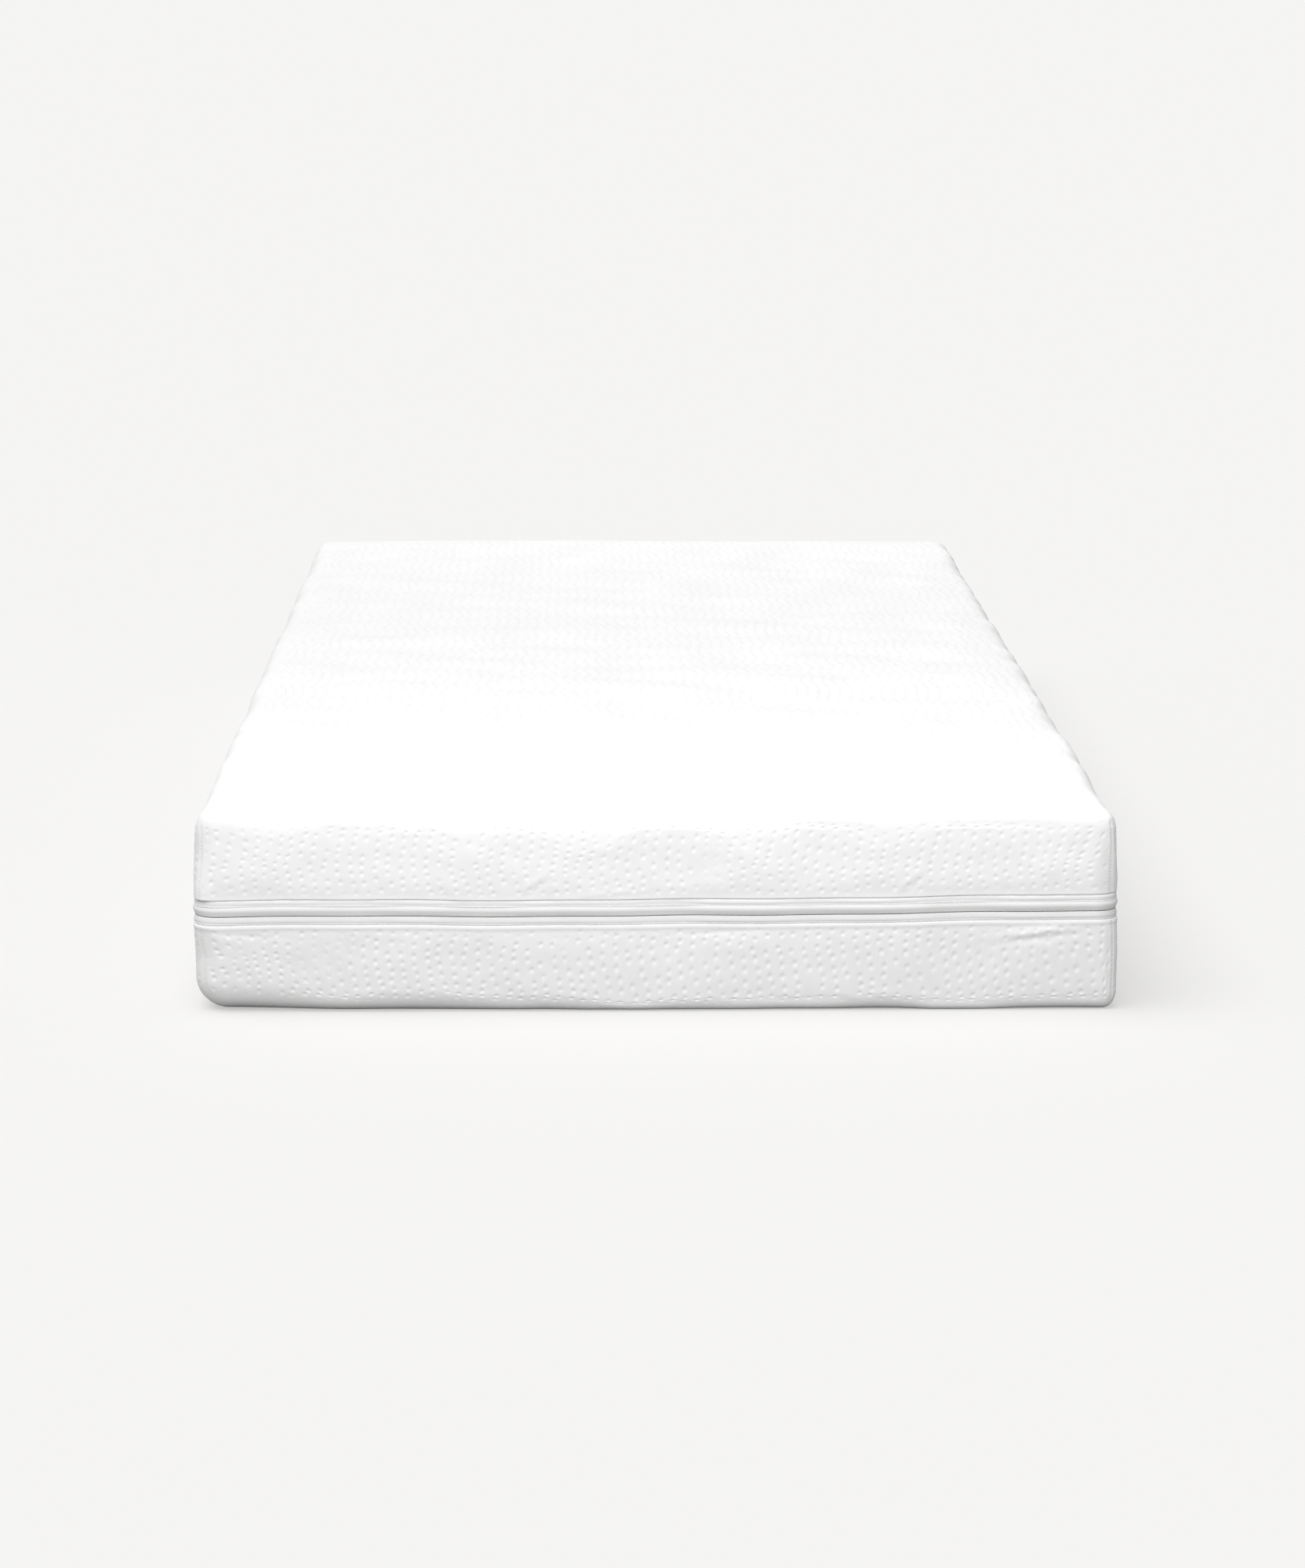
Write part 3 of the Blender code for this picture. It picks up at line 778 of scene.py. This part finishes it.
class Nodes:
    """A material's node tree, with short calls for what the materials here use."""

    def __init__(self, name, colour, roughness, sheen=0.0, metallic=0.0):
        self.material = bpy.data.materials.new(name)
        self.material.use_nodes = True
        self.tree = self.material.node_tree
        self.shader = self.tree.nodes["Principled BSDF"]
        set_inputs(self.shader, {
            "Base Color": (*colour, 1), "Roughness": roughness, "Metallic": metallic,
            "Sheen Weight": sheen, "Sheen Roughness": 0.6, "Specular IOR Level": 0.25,
        })

    def node(self, kind, **values):
        made = self.tree.nodes.new(kind)
        for key, value in values.items():
            setattr(made, key, value)
        return made

    def place(self):
        return self.node("ShaderNodeTexCoord").outputs["Object"]

    def wire(self, source, target):
        self.tree.links.new(source, target)

    def math(self, operation, first, second=None, third=None):
        made = self.node("ShaderNodeMath", operation=operation)
        for socket, value in zip(made.inputs, (first, second, third)):
            if value is None:
                continue
            if isinstance(value, (int, float)):
                socket.default_value = value
            else:
                self.wire(value, socket)
        return made.outputs[0]

    def noise(self, vector, scale, detail=2.0):
        made = self.node("ShaderNodeTexNoise")
        set_inputs(made, {"Scale": scale, "Detail": detail})
        self.wire(vector, made.inputs["Vector"])
        return made.outputs["Fac"]

    def colours(self, factor, low, high, start=0.3, end=0.7):
        ramp = self.node("ShaderNodeValToRGB")
        for stop, position, colour in zip(ramp.color_ramp.elements, (start, end), (low, high)):
            stop.position, stop.color = position, (*colour, 1)
        self.wire(factor, ramp.inputs["Fac"])
        self.wire(ramp.outputs["Color"], self.shader.inputs["Base Color"])

    def relief(self, height, distance, strength=1.0, before=None):
        made = self.node("ShaderNodeBump")
        set_inputs(made, {"Strength": strength, "Distance": distance})
        self.wire(height, made.inputs["Height"])
        if before is not None:
            self.wire(before, made.inputs["Normal"])
        self.wire(made.outputs["Normal"], self.shader.inputs["Normal"])
        return made.outputs["Normal"]


def stitch_texture(nodes, u, v, wale=0.0013, course=0.0010):
    """Height of the knit's loops: ribs that lean left and right in turn."""
    slant = nodes.math("PINGPONG", nodes.math("DIVIDE", u, wale), 1.0)
    row = nodes.math("ADD", nodes.math("DIVIDE", v, course), nodes.math("MULTIPLY", slant, 0.7))
    loops = nodes.math("PINGPONG", row, 0.5)
    return nodes.math("ADD", loops, nodes.math("MULTIPLY", slant, 0.5))


def knit_material(name, dimpled):
    nodes = Nodes(name, (0.92, 0.92, 0.92), 0.92, sheen=0.12)
    cloth = nodes.node("ShaderNodeUVMap", uv_map="Cloth").outputs["UV"]
    parts = nodes.node("ShaderNodeSeparateXYZ")
    nodes.wire(cloth, parts.inputs[0])
    u, v = parts.outputs["X"], parts.outputs["Y"]
    fuzz = nodes.noise(cloth, 900, 3)
    broad = nodes.noise(cloth, 9, 3)
    nodes.colours(broad, (0.905, 0.905, 0.905), (0.93, 0.93, 0.932))
    loops = nodes.math("ADD", stitch_texture(nodes, u, v), nodes.math("MULTIPLY", fuzz, 0.7))
    normal = nodes.relief(loops, 0.00010, 0.5)
    if dimpled:
        pits = dimple_texture(nodes, cloth, u, v)
        nodes.relief(pits, DIMPLE_DEPTH * 0.9, 1.0, before=normal)
    return nodes.material


def dimple_texture(nodes, cloth, u, v):
    """The same pin dimples as the border's, drawn by the material on the flat faces."""
    drift = nodes.noise(cloth, 7, 1)
    phase = nodes.math("ADD", nodes.math("DIVIDE", v, 0.080), nodes.math("MULTIPLY", drift, 1.6))
    zigzag = nodes.math("PINGPONG", nodes.math("MULTIPLY", phase, 2.0), 1.0)
    columns = nodes.math(
        "ADD", nodes.math("DIVIDE", u, DIMPLE_ACROSS), nodes.math("MULTIPLY", zigzag, 0.55)
    )
    rows = nodes.math("DIVIDE", v, DIMPLE_UP)
    column = nodes.math("ROUND", columns)
    row = nodes.math("ROUND", rows)
    cell = nodes.node("ShaderNodeCombineXYZ")
    nodes.wire(column, cell.inputs[0])
    nodes.wire(row, cell.inputs[1])
    chance = nodes.node("ShaderNodeTexWhiteNoise", noise_dimensions="2D")
    nodes.wire(cell.outputs[0], chance.inputs["Vector"])
    values = nodes.node("ShaderNodeSeparateColor")
    nodes.wire(chance.outputs["Color"], values.inputs[0])
    off_u, off_v = (
        nodes.math(
            "ADD", nodes.math("SUBTRACT", place, middle), nodes.math("MULTIPLY_ADD", by, 0.2, -0.1)
        )
        for place, middle, by in zip((columns, rows), (column, row), values.outputs)
    )
    far_u = nodes.math("MULTIPLY", off_u, DIMPLE_ACROSS / DIMPLE_HALF_WIDTH)
    far_v = nodes.math("MULTIPLY", off_v, DIMPLE_UP / DIMPLE_HALF_HEIGHT)
    away = nodes.math("ADD", *(nodes.math("POWER", far, 2.0) for far in (far_u, far_v)))
    pit = nodes.math("EXPONENT", nodes.math("MULTIPLY", away, -1.0))
    clusters = nodes.noise(cloth, 16, 1)
    keep = nodes.math("LESS_THAN", clusters, 0.64)
    for coordinate, axis in ((u, 0), (v, 1)):
        rim = nodes.math("SUBTRACT", unrolled(axis) - 0.004, nodes.math("ABSOLUTE", coordinate))
        fade = nodes.math("DIVIDE", rim, 0.014)
        fade.node.use_clamp = True
        keep = nodes.math("MULTIPLY", keep, fade)
    size = nodes.math("MULTIPLY_ADD", values.outputs[2], 0.5, 0.6)
    deep = nodes.math("MULTIPLY", nodes.math("MULTIPLY", pit, size), keep)
    return nodes.math("MULTIPLY", deep, -1.0)


def plain_cloth(name, low, high, scale, depth, roughness=0.85, sheen=0.1):
    """A woven, felted or foamed surface: fine grain in colour and relief."""
    nodes = Nodes(name, high, roughness, sheen)
    place = nodes.place()
    nodes.colours(nodes.noise(place, scale / 12, 3), low, high)
    nodes.relief(nodes.noise(place, scale, 3), depth, 0.6)
    return nodes.material


def tape_material():
    """A smooth woven tape, with fine ribs across it."""
    nodes = Nodes("white_tape", (0.84, 0.84, 0.84), 0.8, 0.05)
    place = nodes.place()
    nodes.colours(nodes.noise(place, 25, 3), (0.815, 0.815, 0.815), (0.85, 0.85, 0.85))
    ribs = nodes.node("ShaderNodeTexWave", wave_type="BANDS", bands_direction="Z")
    set_inputs(ribs, {"Scale": 280, "Distortion": 1.0})
    nodes.wire(place, ribs.inputs["Vector"])
    grain = nodes.math("MULTIPLY_ADD", nodes.noise(place, 1400, 2), 0.8, ribs.outputs["Fac"])
    nodes.relief(grain, 0.00006, 0.5)
    return nodes.material


def foam_material(name, low, high, cell):
    """Cut open-cell foam: pores of mixed size, and slight mottling."""
    nodes = Nodes(name, high, 0.95, 0.05)
    place = nodes.place()
    nodes.colours(nodes.noise(place, 18, 4), low, high)
    pores = nodes.node("ShaderNodeTexVoronoi")
    pores.inputs["Scale"].default_value = 1 / cell
    nodes.wire(place, pores.inputs["Vector"])
    grain = nodes.noise(place, 0.4 / cell, 2)
    grain = nodes.math("MULTIPLY_ADD", grain, 0.6, pores.outputs["Distance"])
    nodes.relief(grain, cell * 0.4, 0.7)
    return nodes.material


def metal_material():
    """White lacquer on zinc, rubbed a little along its texture."""
    nodes = Nodes("lacquered_zinc", (0.86, 0.86, 0.86), 0.3, metallic=0.3)
    place = nodes.place()
    wear = nodes.noise(place, 420, 4)
    nodes.colours(wear, (0.70, 0.70, 0.71), (0.88, 0.88, 0.88), 0.25, 0.45)
    nodes.relief(wear, 0.00004, 0.4)
    return nodes.material


KNIT = knit_material("white_knit", False)
KNIT_FLAT = knit_material("white_knit_flat", True)
TAPE = tape_material()
THREAD = plain_cloth("sewing_thread", (0.88, 0.88, 0.88), (0.93, 0.93, 0.93), 3000, 0.00008)
WADDING_LOOK = plain_cloth(
    "fibre_wadding", (0.86, 0.86, 0.85), (0.95, 0.95, 0.94), 700, 0.0008, 0.95
)
BACKING_LOOK = plain_cloth("nonwoven_backing", (0.84, 0.84, 0.83), (0.90, 0.90, 0.89), 500, 0.0002)
MEMORY = foam_material("memory_foam", (0.86, 0.82, 0.70), (0.92, 0.89, 0.79), 0.0008)
TRANSITION = foam_material("transition_foam", (0.62, 0.78, 0.84), (0.72, 0.85, 0.89), 0.0013)
SUPPORT = foam_material("support_foam", (0.84, 0.84, 0.82), (0.91, 0.91, 0.89), 0.0018)
NYLON = plain_cloth("white_nylon", (0.86, 0.86, 0.86), (0.90, 0.90, 0.90), 1500, 0.00003, 0.4, 0.0)
LABEL = plain_cloth("satin_label", (0.90, 0.90, 0.89), (0.95, 0.95, 0.94), 1200, 0.00004, 0.5)
METAL = metal_material()


# ---------------------------------------------------------------- the pieces

def place(obj, body, slot, *replaced):
    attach(obj, body)
    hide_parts(*replaced)
    return obj


# Mesh pitches: the border's, across and up, are finest at the front
PITCHES = {
    "front": (0.0015, 0.00125),
    "back": (0.0019, 0.0014),
    "right": (0.0019, 0.0013),
    "left": (0.0019, 0.0013),
}
FACE_PITCH = {"top": 0.0044, "bottom": 0.0060}
WADDING_PITCH, BACKING_PITCH = 0.010, 0.016
TAPE_PITCH, STRIP_PITCH = 0.006, 0.004
STITCH_OUTSET = -0.00185
HALVES = {
    "top": ("upper_cover", "top_cover_knit", UPPER_HEM),
    "bottom": ("lower_cover", "bottom_cover_knit", LOWER_HEM),
}


def make_knits():
    for half, (body, node, hem) in HALVES.items():
        for face in BORDERS:
            name = f"{half}_knit_{face}"
            obj, width = border_patch(name, face, half, *PITCHES[face], KNIT)
            place(obj, body, "white_knit", node)
        face = "top" if half == "top" else "under"
        name = f"{half}_knit_{'sleeping_face' if half == 'top' else 'underside'}"
        obj = flat_patch(name, face, FACE_PITCH[half], KNIT_FLAT)
        place(obj, body, "white_knit", node)


def make_linings():
    for half, (body, _, hem) in HALVES.items():
        wadding = lining(f"{half}_wadding", half, WADDING_PITCH, WADDING_LOOK, True)
        place(wadding, body, "fibre_wadding", f"{half}_cover_wadding")
        backing = lining(f"{half}_backing", half, BACKING_PITCH, BACKING_LOOK, False)
        place(backing, body, "nonwoven_backing", f"{half}_cover_backing")


def flap_profile():
    """The zip flap: sewn under the knit's hem, and bulging over its own folded edge."""
    top, edge = UPPER_HEM - 0.0013, FLAP_EDGE
    close = -0.0009
    return (
        (-0.0024, top),
        (-0.0022, FLAP_STITCH + 0.0030, 0.0003, 0.0),
        (-0.0020, FLAP_STITCH + 0.0012, 0.0002, 0.0),
        (-0.0022, FLAP_STITCH),
        (-0.0018, FLAP_STITCH - 0.0012, 0.0003, 0.0),
        (-0.0016, FLAP_STITCH - 0.0028, 0.0008, 0.0),
        (-0.0015, FLAP_STITCH - 0.0045, 0.0010, 0.0),
        (-0.0016, edge + 0.0036, 0.0006, 0.5 * close),
        (-0.0019, edge + 0.0022, 0.0002, 0.9 * close),
        (-0.0023, edge + 0.0011, 0.0000, close),
        (-0.0027, edge + 0.0004, 0.0, close),
        (-0.0031, edge, 0.0, close),
        (-0.0033, edge + 0.0006, 0.0, close),
        (-0.0034, edge + 0.0030, 0.0, 0.5 * close),
        (-0.0035, FLAP_STITCH),
        (-0.0034, top),
    )


def welt_profile():
    """The welt: a folded strip that stands up behind the knit's hem, and faces the flap."""
    low, edge = LOWER_HEM + 0.0006, WELT_EDGE
    close = 0.0015
    return (
        (-0.0032, low),
        (-0.0034, WELT_STITCH),
        (-0.0035, edge - 0.0012, 0.0, 0.7 * close),
        (-0.0033, edge - 0.0003, 0.0, close),
        (-0.0029, edge, 0.0, close),
        (-0.0025, edge - 0.0004, 0.0, close),
        (-0.0021, edge - 0.0013, 0.0, 0.9 * close),
        (-0.0018, edge - 0.0026, 0.0001, 0.7 * close),
        (-0.0016, edge - 0.0037, 0.0003, 0.4 * close),
        (-0.0018, WELT_STITCH + 0.0009, 0.0001, 0.0),
        (-0.0022, WELT_STITCH),
        (-0.0020, WELT_STITCH - 0.0009),
        (-0.0023, low),
    )


def tape_profile(low, high):
    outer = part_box("upper_zip_tape")[1].y - HALF[1]
    inner = outer - 0.0006
    middle = (low + high) / 2
    return (
        (outer, high),
        (outer, middle),
        (outer, low + 0.0002),
        ((outer + inner) / 2, low),
        (inner, low + 0.0002),
        (inner, middle),
        (inner, high),
    )


def make_band():
    for half, body in (("upper", "upper_cover"), ("lower", "lower_cover")):
        low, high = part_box(f"{half}_zip_tape")
        tape = ring(f"{half}_tape", tape_profile(low.z, high.z), TAPE_PITCH, TAPE)
        place(tape, body, "white_tape", f"{half}_zip_tape")
        place(coil(f"{half}_coil", NYLON), body, "white_nylon", f"{half}_zip_coil")
    flap = ring("flap", flap_profile(), STRIP_PITCH, TAPE, wander=0.00025)
    place(flap, "upper_cover", "white_tape", "zip_flap")
    welt = ring("welt", welt_profile(), STRIP_PITCH, TAPE, wander=0.00015)
    place(welt, "lower_cover", "white_tape", "zip_welt")
    for strip, body, height in (
        ("flap", "upper_cover", FLAP_STITCH), ("welt", "lower_cover", WELT_STITCH)
    ):
        seam = seam_round_border(f"{strip}_stitches", STITCH_OUTSET, height, THREAD)
        place(seam, body, "sewing_thread", f"{strip}_topstitch")


CORNERS = (
    ("front_right", "front", 1),
    ("front_left", "front", -1),
    ("back_left", "back", 1),
    ("back_right", "back", -1),
)


def make_corner_seams():
    for half, (body, _, _) in HALVES.items():
        for name, face, side in CORNERS:
            seam = corner_seam(name, half, face, side, THREAD)
            place(seam, body, "sewing_thread", f"{half}_corner_seam_{name}")


TAB_STITCH = 0.0028  # inset of the tab's box of stitches, and their pitch


def pad(name, low, high, material):
    """A stitched patch of folded tape on the +Y side: a flat pad with soft, thin edges."""
    across = np.linspace(-1, 1, 33)
    up = np.linspace(-1, 1, 25)
    grid_u, grid_v = np.meshgrid(across, up, indexing="ij")
    centre, size = (low + high) / 2, (high - low) / 2
    edge = (1 - np.abs(grid_u) ** 10) * (1 - np.abs(grid_v) ** 8)
    from_side, from_end = (1 - np.abs(grid_u)) * size.x, (1 - np.abs(grid_v)) * size.z
    line_u = bump(from_side - TAB_STITCH, 0.0009) * (from_end > 0.002)
    line_v = bump(from_end - TAB_STITCH, 0.0009) * (from_side > 0.002)
    thick = (high.y - low.y) * (0.45 + 0.55 * edge) - 0.00028 * np.maximum(line_u, line_v)
    x = centre.x + size.x * grid_u * (1 - 0.012 * grid_v**2)
    z = centre.z + size.z * grid_v * (1 - 0.012 * grid_u**2)
    front = np.stack([x, low.y + thick, z], -1)
    back = np.stack([x, np.full_like(x, low.y), z], -1)
    count = x.size
    index = np.arange(count).reshape(x.shape)
    rim = np.concatenate([index[:, 0], index[-1, 1:], index[-2::-1, -1], index[0, -2:0:-1]])
    following = np.roll(rim, -1)
    sides = np.stack([rim, following, following + count, rim + count], 1)
    every = np.concatenate([quads_of(index)[:, ::-1], quads_of(index) + count, sides])
    points = np.concatenate([front.reshape(-1, 3), back.reshape(-1, 3)])
    mesh = mesh_from_arrays(name, points, every)
    return link(name, mesh, material)


def make_tab():
    tab = pad("end_tab", TAB_LOW, TAB_HIGH, TAPE)
    place(tab, "lower_cover", "white_tape", "zip_end_tab")
    size = TAB_HIGH - TAB_LOW
    centre, reach = (TAB_LOW + TAB_HIGH) / 2, size / 2 - Vector((TAB_STITCH, 0, TAB_STITCH))
    spots, ways = [], []
    for turn, (length, offset) in enumerate(((reach.x, reach.z), (reach.z, reach.x)) * 2):
        count = int(2 * length / TAB_STITCH)
        for k in range(count):
            along = (k + 0.5) * 2 * length / count - length
            side = 1 if turn < 2 else -1
            spot = (along, side * offset) if turn % 2 == 0 else (side * offset, along)
            spots.append((centre.x + spot[0], TAB_HIGH.y - 0.00030, centre.z + spot[1]))
            ways.append((1, 0, 0) if turn % 2 == 0 else (0, 0, 1))
    out = np.tile([0.0, 1.0, 0.0], (len(spots), 1))
    centres, along = np.array(spots), np.array(ways, float)
    box = threads("tab_stitches", centres, along, out, TAB_STITCH, 0.0003, THREAD)
    place(box, "lower_cover", "white_tape", "zip_end_tab")


def make_label():
    """A blank satin label, looped, sewn into the hem's seam on the +X side."""
    low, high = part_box("care_label")
    top, bottom = high.z, low.z
    profile = np.array([
        (-0.0016, top - 0.0007), (-0.0002, top + 0.0001), (0.0007, top - 0.0005),
        (0.0010, top - 0.004), (0.0011, top - 0.012), (0.0013, top - 0.024),
        (0.0018, bottom + 0.010), (0.0021, bottom + 0.003), (0.0019, bottom + 0.0003),
        (0.0015, bottom), (0.0011, bottom + 0.0004), (0.0011, bottom + 0.004),
        (0.0009, bottom + 0.012), (0.0007, top - 0.022), (0.0006, top - 0.010),
        (0.0005, top - 0.002), (-0.0004, top - 0.0010),
    ])
    along = np.linspace(low.y, high.y, 17)
    share = np.linspace(-1, 1, 17)
    spots = np.zeros((len(along), len(profile), 3))
    hang = smooth(top - 0.004, bottom, profile[:, 1])
    for k, (y, t) in enumerate(zip(along, share)):
        curl = 0.0009 * t * t + 0.0003 * math.sin(5 * t)
        spots[k, :, 0] = HALF[0] + profile[:, 0] + curl * hang
        spots[k, :, 1] = y + 0.0004 * hang * t
        spots[k, :, 2] = profile[:, 1] + 0.0003 * hang * t
    index = wrapped(*spots.shape[:2])
    quads = quads_of(index)
    mesh = bpy.data.meshes.new("label")
    ends = [index[0, :-1].tolist(), index[-1, -2::-1].tolist()]
    mesh.from_pydata(spots.reshape(-1, 3).tolist(), [], quads[:, ::-1].tolist() + ends)
    mesh.polygons.foreach_set("use_smooth", [True] * (len(mesh.polygons) - 2) + [False, False])
    label = link("label", mesh, LABEL)
    place(label, "lower_cover", "satin_label", "care_label")


def soft_slab(name, node, radius, pitch, material):
    """A cut foam slab inside the node's box: slightly rounded edges, and faces not quite flat."""
    low, high = (np.array(c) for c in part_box(node))
    half, middle = (high - low) / 2, (low + high) / 2
    weld, quads = Weld(), []
    for face in FACES:
        ends = []
        for axis in map(axis_of, FACES[face][:2]):
            flat, end = half[axis] - radius, unrolled(axis, half, radius)
            inner = np.linspace(-flat, flat, max(2, round(2 * flat / pitch)) + 1)
            edge = np.linspace(flat, end, 4)[1:]
            ends.append(np.concatenate([-edge[::-1], inner, edge]))
        points, normals = block(face, *np.meshgrid(*ends, indexing="ij"), half, middle, radius)
        sunk = 0.0005 * (1 + 0.6 * MEDIUM(points)) + 0.0003 * (1 + FINE(points))
        laid = points - np.clip(sunk, 0, None)[..., None] * normals
        quads.append(quads_of(weld.add(points, laid)))
    mesh = mesh_from_arrays(name, *weld.values(), np.concatenate(quads))
    return link(name, mesh, material)


def grooved_slab(name, node, material):
    """The support foam: the node's own shape, with its cut edges softened."""
    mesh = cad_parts[node].data.copy()
    mesh.materials.clear()
    work = bmesh.new()
    work.from_mesh(mesh)
    bmesh.ops.remove_doubles(work, verts=work.verts, dist=1e-6)
    sharp = [e for e in work.edges if e.is_manifold and e.calc_face_angle(0) > 0.6]
    bmesh.ops.bevel(work, geom=sharp, offset=0.0013, segments=2, profile=0.6, affect="EDGES")
    work.to_mesh(mesh)
    work.free()
    return link(name, mesh, material)


def make_core():
    core = (
        (soft_slab("memory_foam", "memory_foam_layer", 0.013, 0.016, MEMORY), "memory_foam_layer"),
        (
            soft_slab("transition_foam", "transition_foam_layer", 0.003, 0.020, TRANSITION),
            "transition_foam_layer",
        ),
        (grooved_slab("support_foam", "support_foam_base", SUPPORT), "support_foam_base"),
    )
    for piece, node in core:
        place(piece, "core", piece.name, node)


def finish_fittings():
    """Procedural materials for the nodes whose CAD shape stays."""
    looks = {
        "zip_slider": METAL, "zip_pull": METAL,
        "lower_end_stop": NYLON, "upper_end_stop": NYLON,
        "zip_retainer_box": NYLON, "zip_insertion_pin": NYLON,
    }
    for node, material in looks.items():
        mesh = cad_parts[node].data
        mesh.materials.clear()
        mesh.materials.append(material)


make_knits()
make_linings()
make_band()
make_corner_seams()
make_tab()
make_label()
make_core()
finish_fittings()


# ---------------------------------------------------------------- stage, light and camera

FLOOR_REACH = 200.0
FLOOR_GLOW = 0.468  # strengths of the lights, from here
SKY = 0.42
OVERHEAD = 1.85
SOFTBOX = 11.6
BACK_SOFTBOX = 6.5
CAMERA_SPOT = (-0.0702, -5.1213, 1.0030)
CAMERA_DOWN, CAMERA_LEFT = 10.68, -0.923  # degrees below the horizon, and left of +Y
CAMERA_LENS = 100.26


def make_stage():
    """A pale floor that is lit a little from within, as a studio's light table is."""
    nodes = Nodes("stage_floor", (0.46, 0.458, 0.454), 1.0)
    set_inputs(nodes.shader, {
        "Specular IOR Level": 0.0, "Emission Color": (1.0, 0.993, 0.975, 1),
        "Emission Strength": FLOOR_GLOW,
    })
    mesh = bpy.data.meshes.new("stage_floor")
    r = FLOOR_REACH
    mesh.from_pydata([(-r, -r, 0), (r, -r, 0), (r, r, 0), (-r, r, 0)], [], [(0, 1, 2, 3)])
    floor = link("stage_floor", mesh, nodes.material)
    return floor


def make_lights(floor):
    world = bpy.data.worlds.new("studio")
    bpy.context.scene.world = world
    world.use_nodes = True
    background = world.node_tree.nodes["Background"]
    set_inputs(background, {"Color": (1.0, 1.0, 1.0, 1), "Strength": SKY})
    sun = add_lamp("overhead", "SUN", OVERHEAD, (0, 0, 3), (0.34, 0.10, -1.0))
    sun.data.angle = math.radians(60)
    off_floor = bpy.data.collections.new("all_but_the_floor")
    off_floor.objects.link(floor)
    off_floor.collection_objects[0].light_linking.link_state = "EXCLUDE"
    front = add_lamp("softbox", "AREA", SOFTBOX, (-0.05, -2.1, 1.0), (0.05, 1.0, -0.85))
    back = add_lamp("back_softbox", "AREA", BACK_SOFTBOX, (0.2, 2.3, 1.3), (-0.1, -1.0, -0.8))
    for lamp in (front, back):
        lamp.data.shape = "RECTANGLE"
        lamp.data.size, lamp.data.size_y = 1.5, 0.7
        lamp.visible_camera = False
        lamp.light_linking.receiver_collection = off_floor
    floor_only = bpy.data.collections.new("floor_only")
    floor_only.objects.link(floor)
    floor.light_linking.receiver_collection = floor_only


def add_lamp(name, kind, energy, spot, toward):
    data = bpy.data.lights.new(name, kind)
    data.energy = energy
    lamp = add_object(name, data)
    lamp.location = spot
    lamp.rotation_euler = Vector(toward).to_track_quat("-Z", "Y").to_euler()
    return lamp


def make_camera():
    data = bpy.data.cameras.new("camera")
    data.lens = CAMERA_LENS
    data.sensor_width = 36.0
    data.clip_end = 500.0
    camera = add_object("camera", data)
    camera.location = CAMERA_SPOT
    camera.rotation_euler = (math.radians(90 - CAMERA_DOWN), 0.0, math.radians(CAMERA_LEFT))
    bpy.context.scene.camera = camera


make_lights(make_stage())
make_camera()
bpy.context.scene.view_settings.view_transform = "Standard"
bpy.context.scene.view_settings.look = "None"
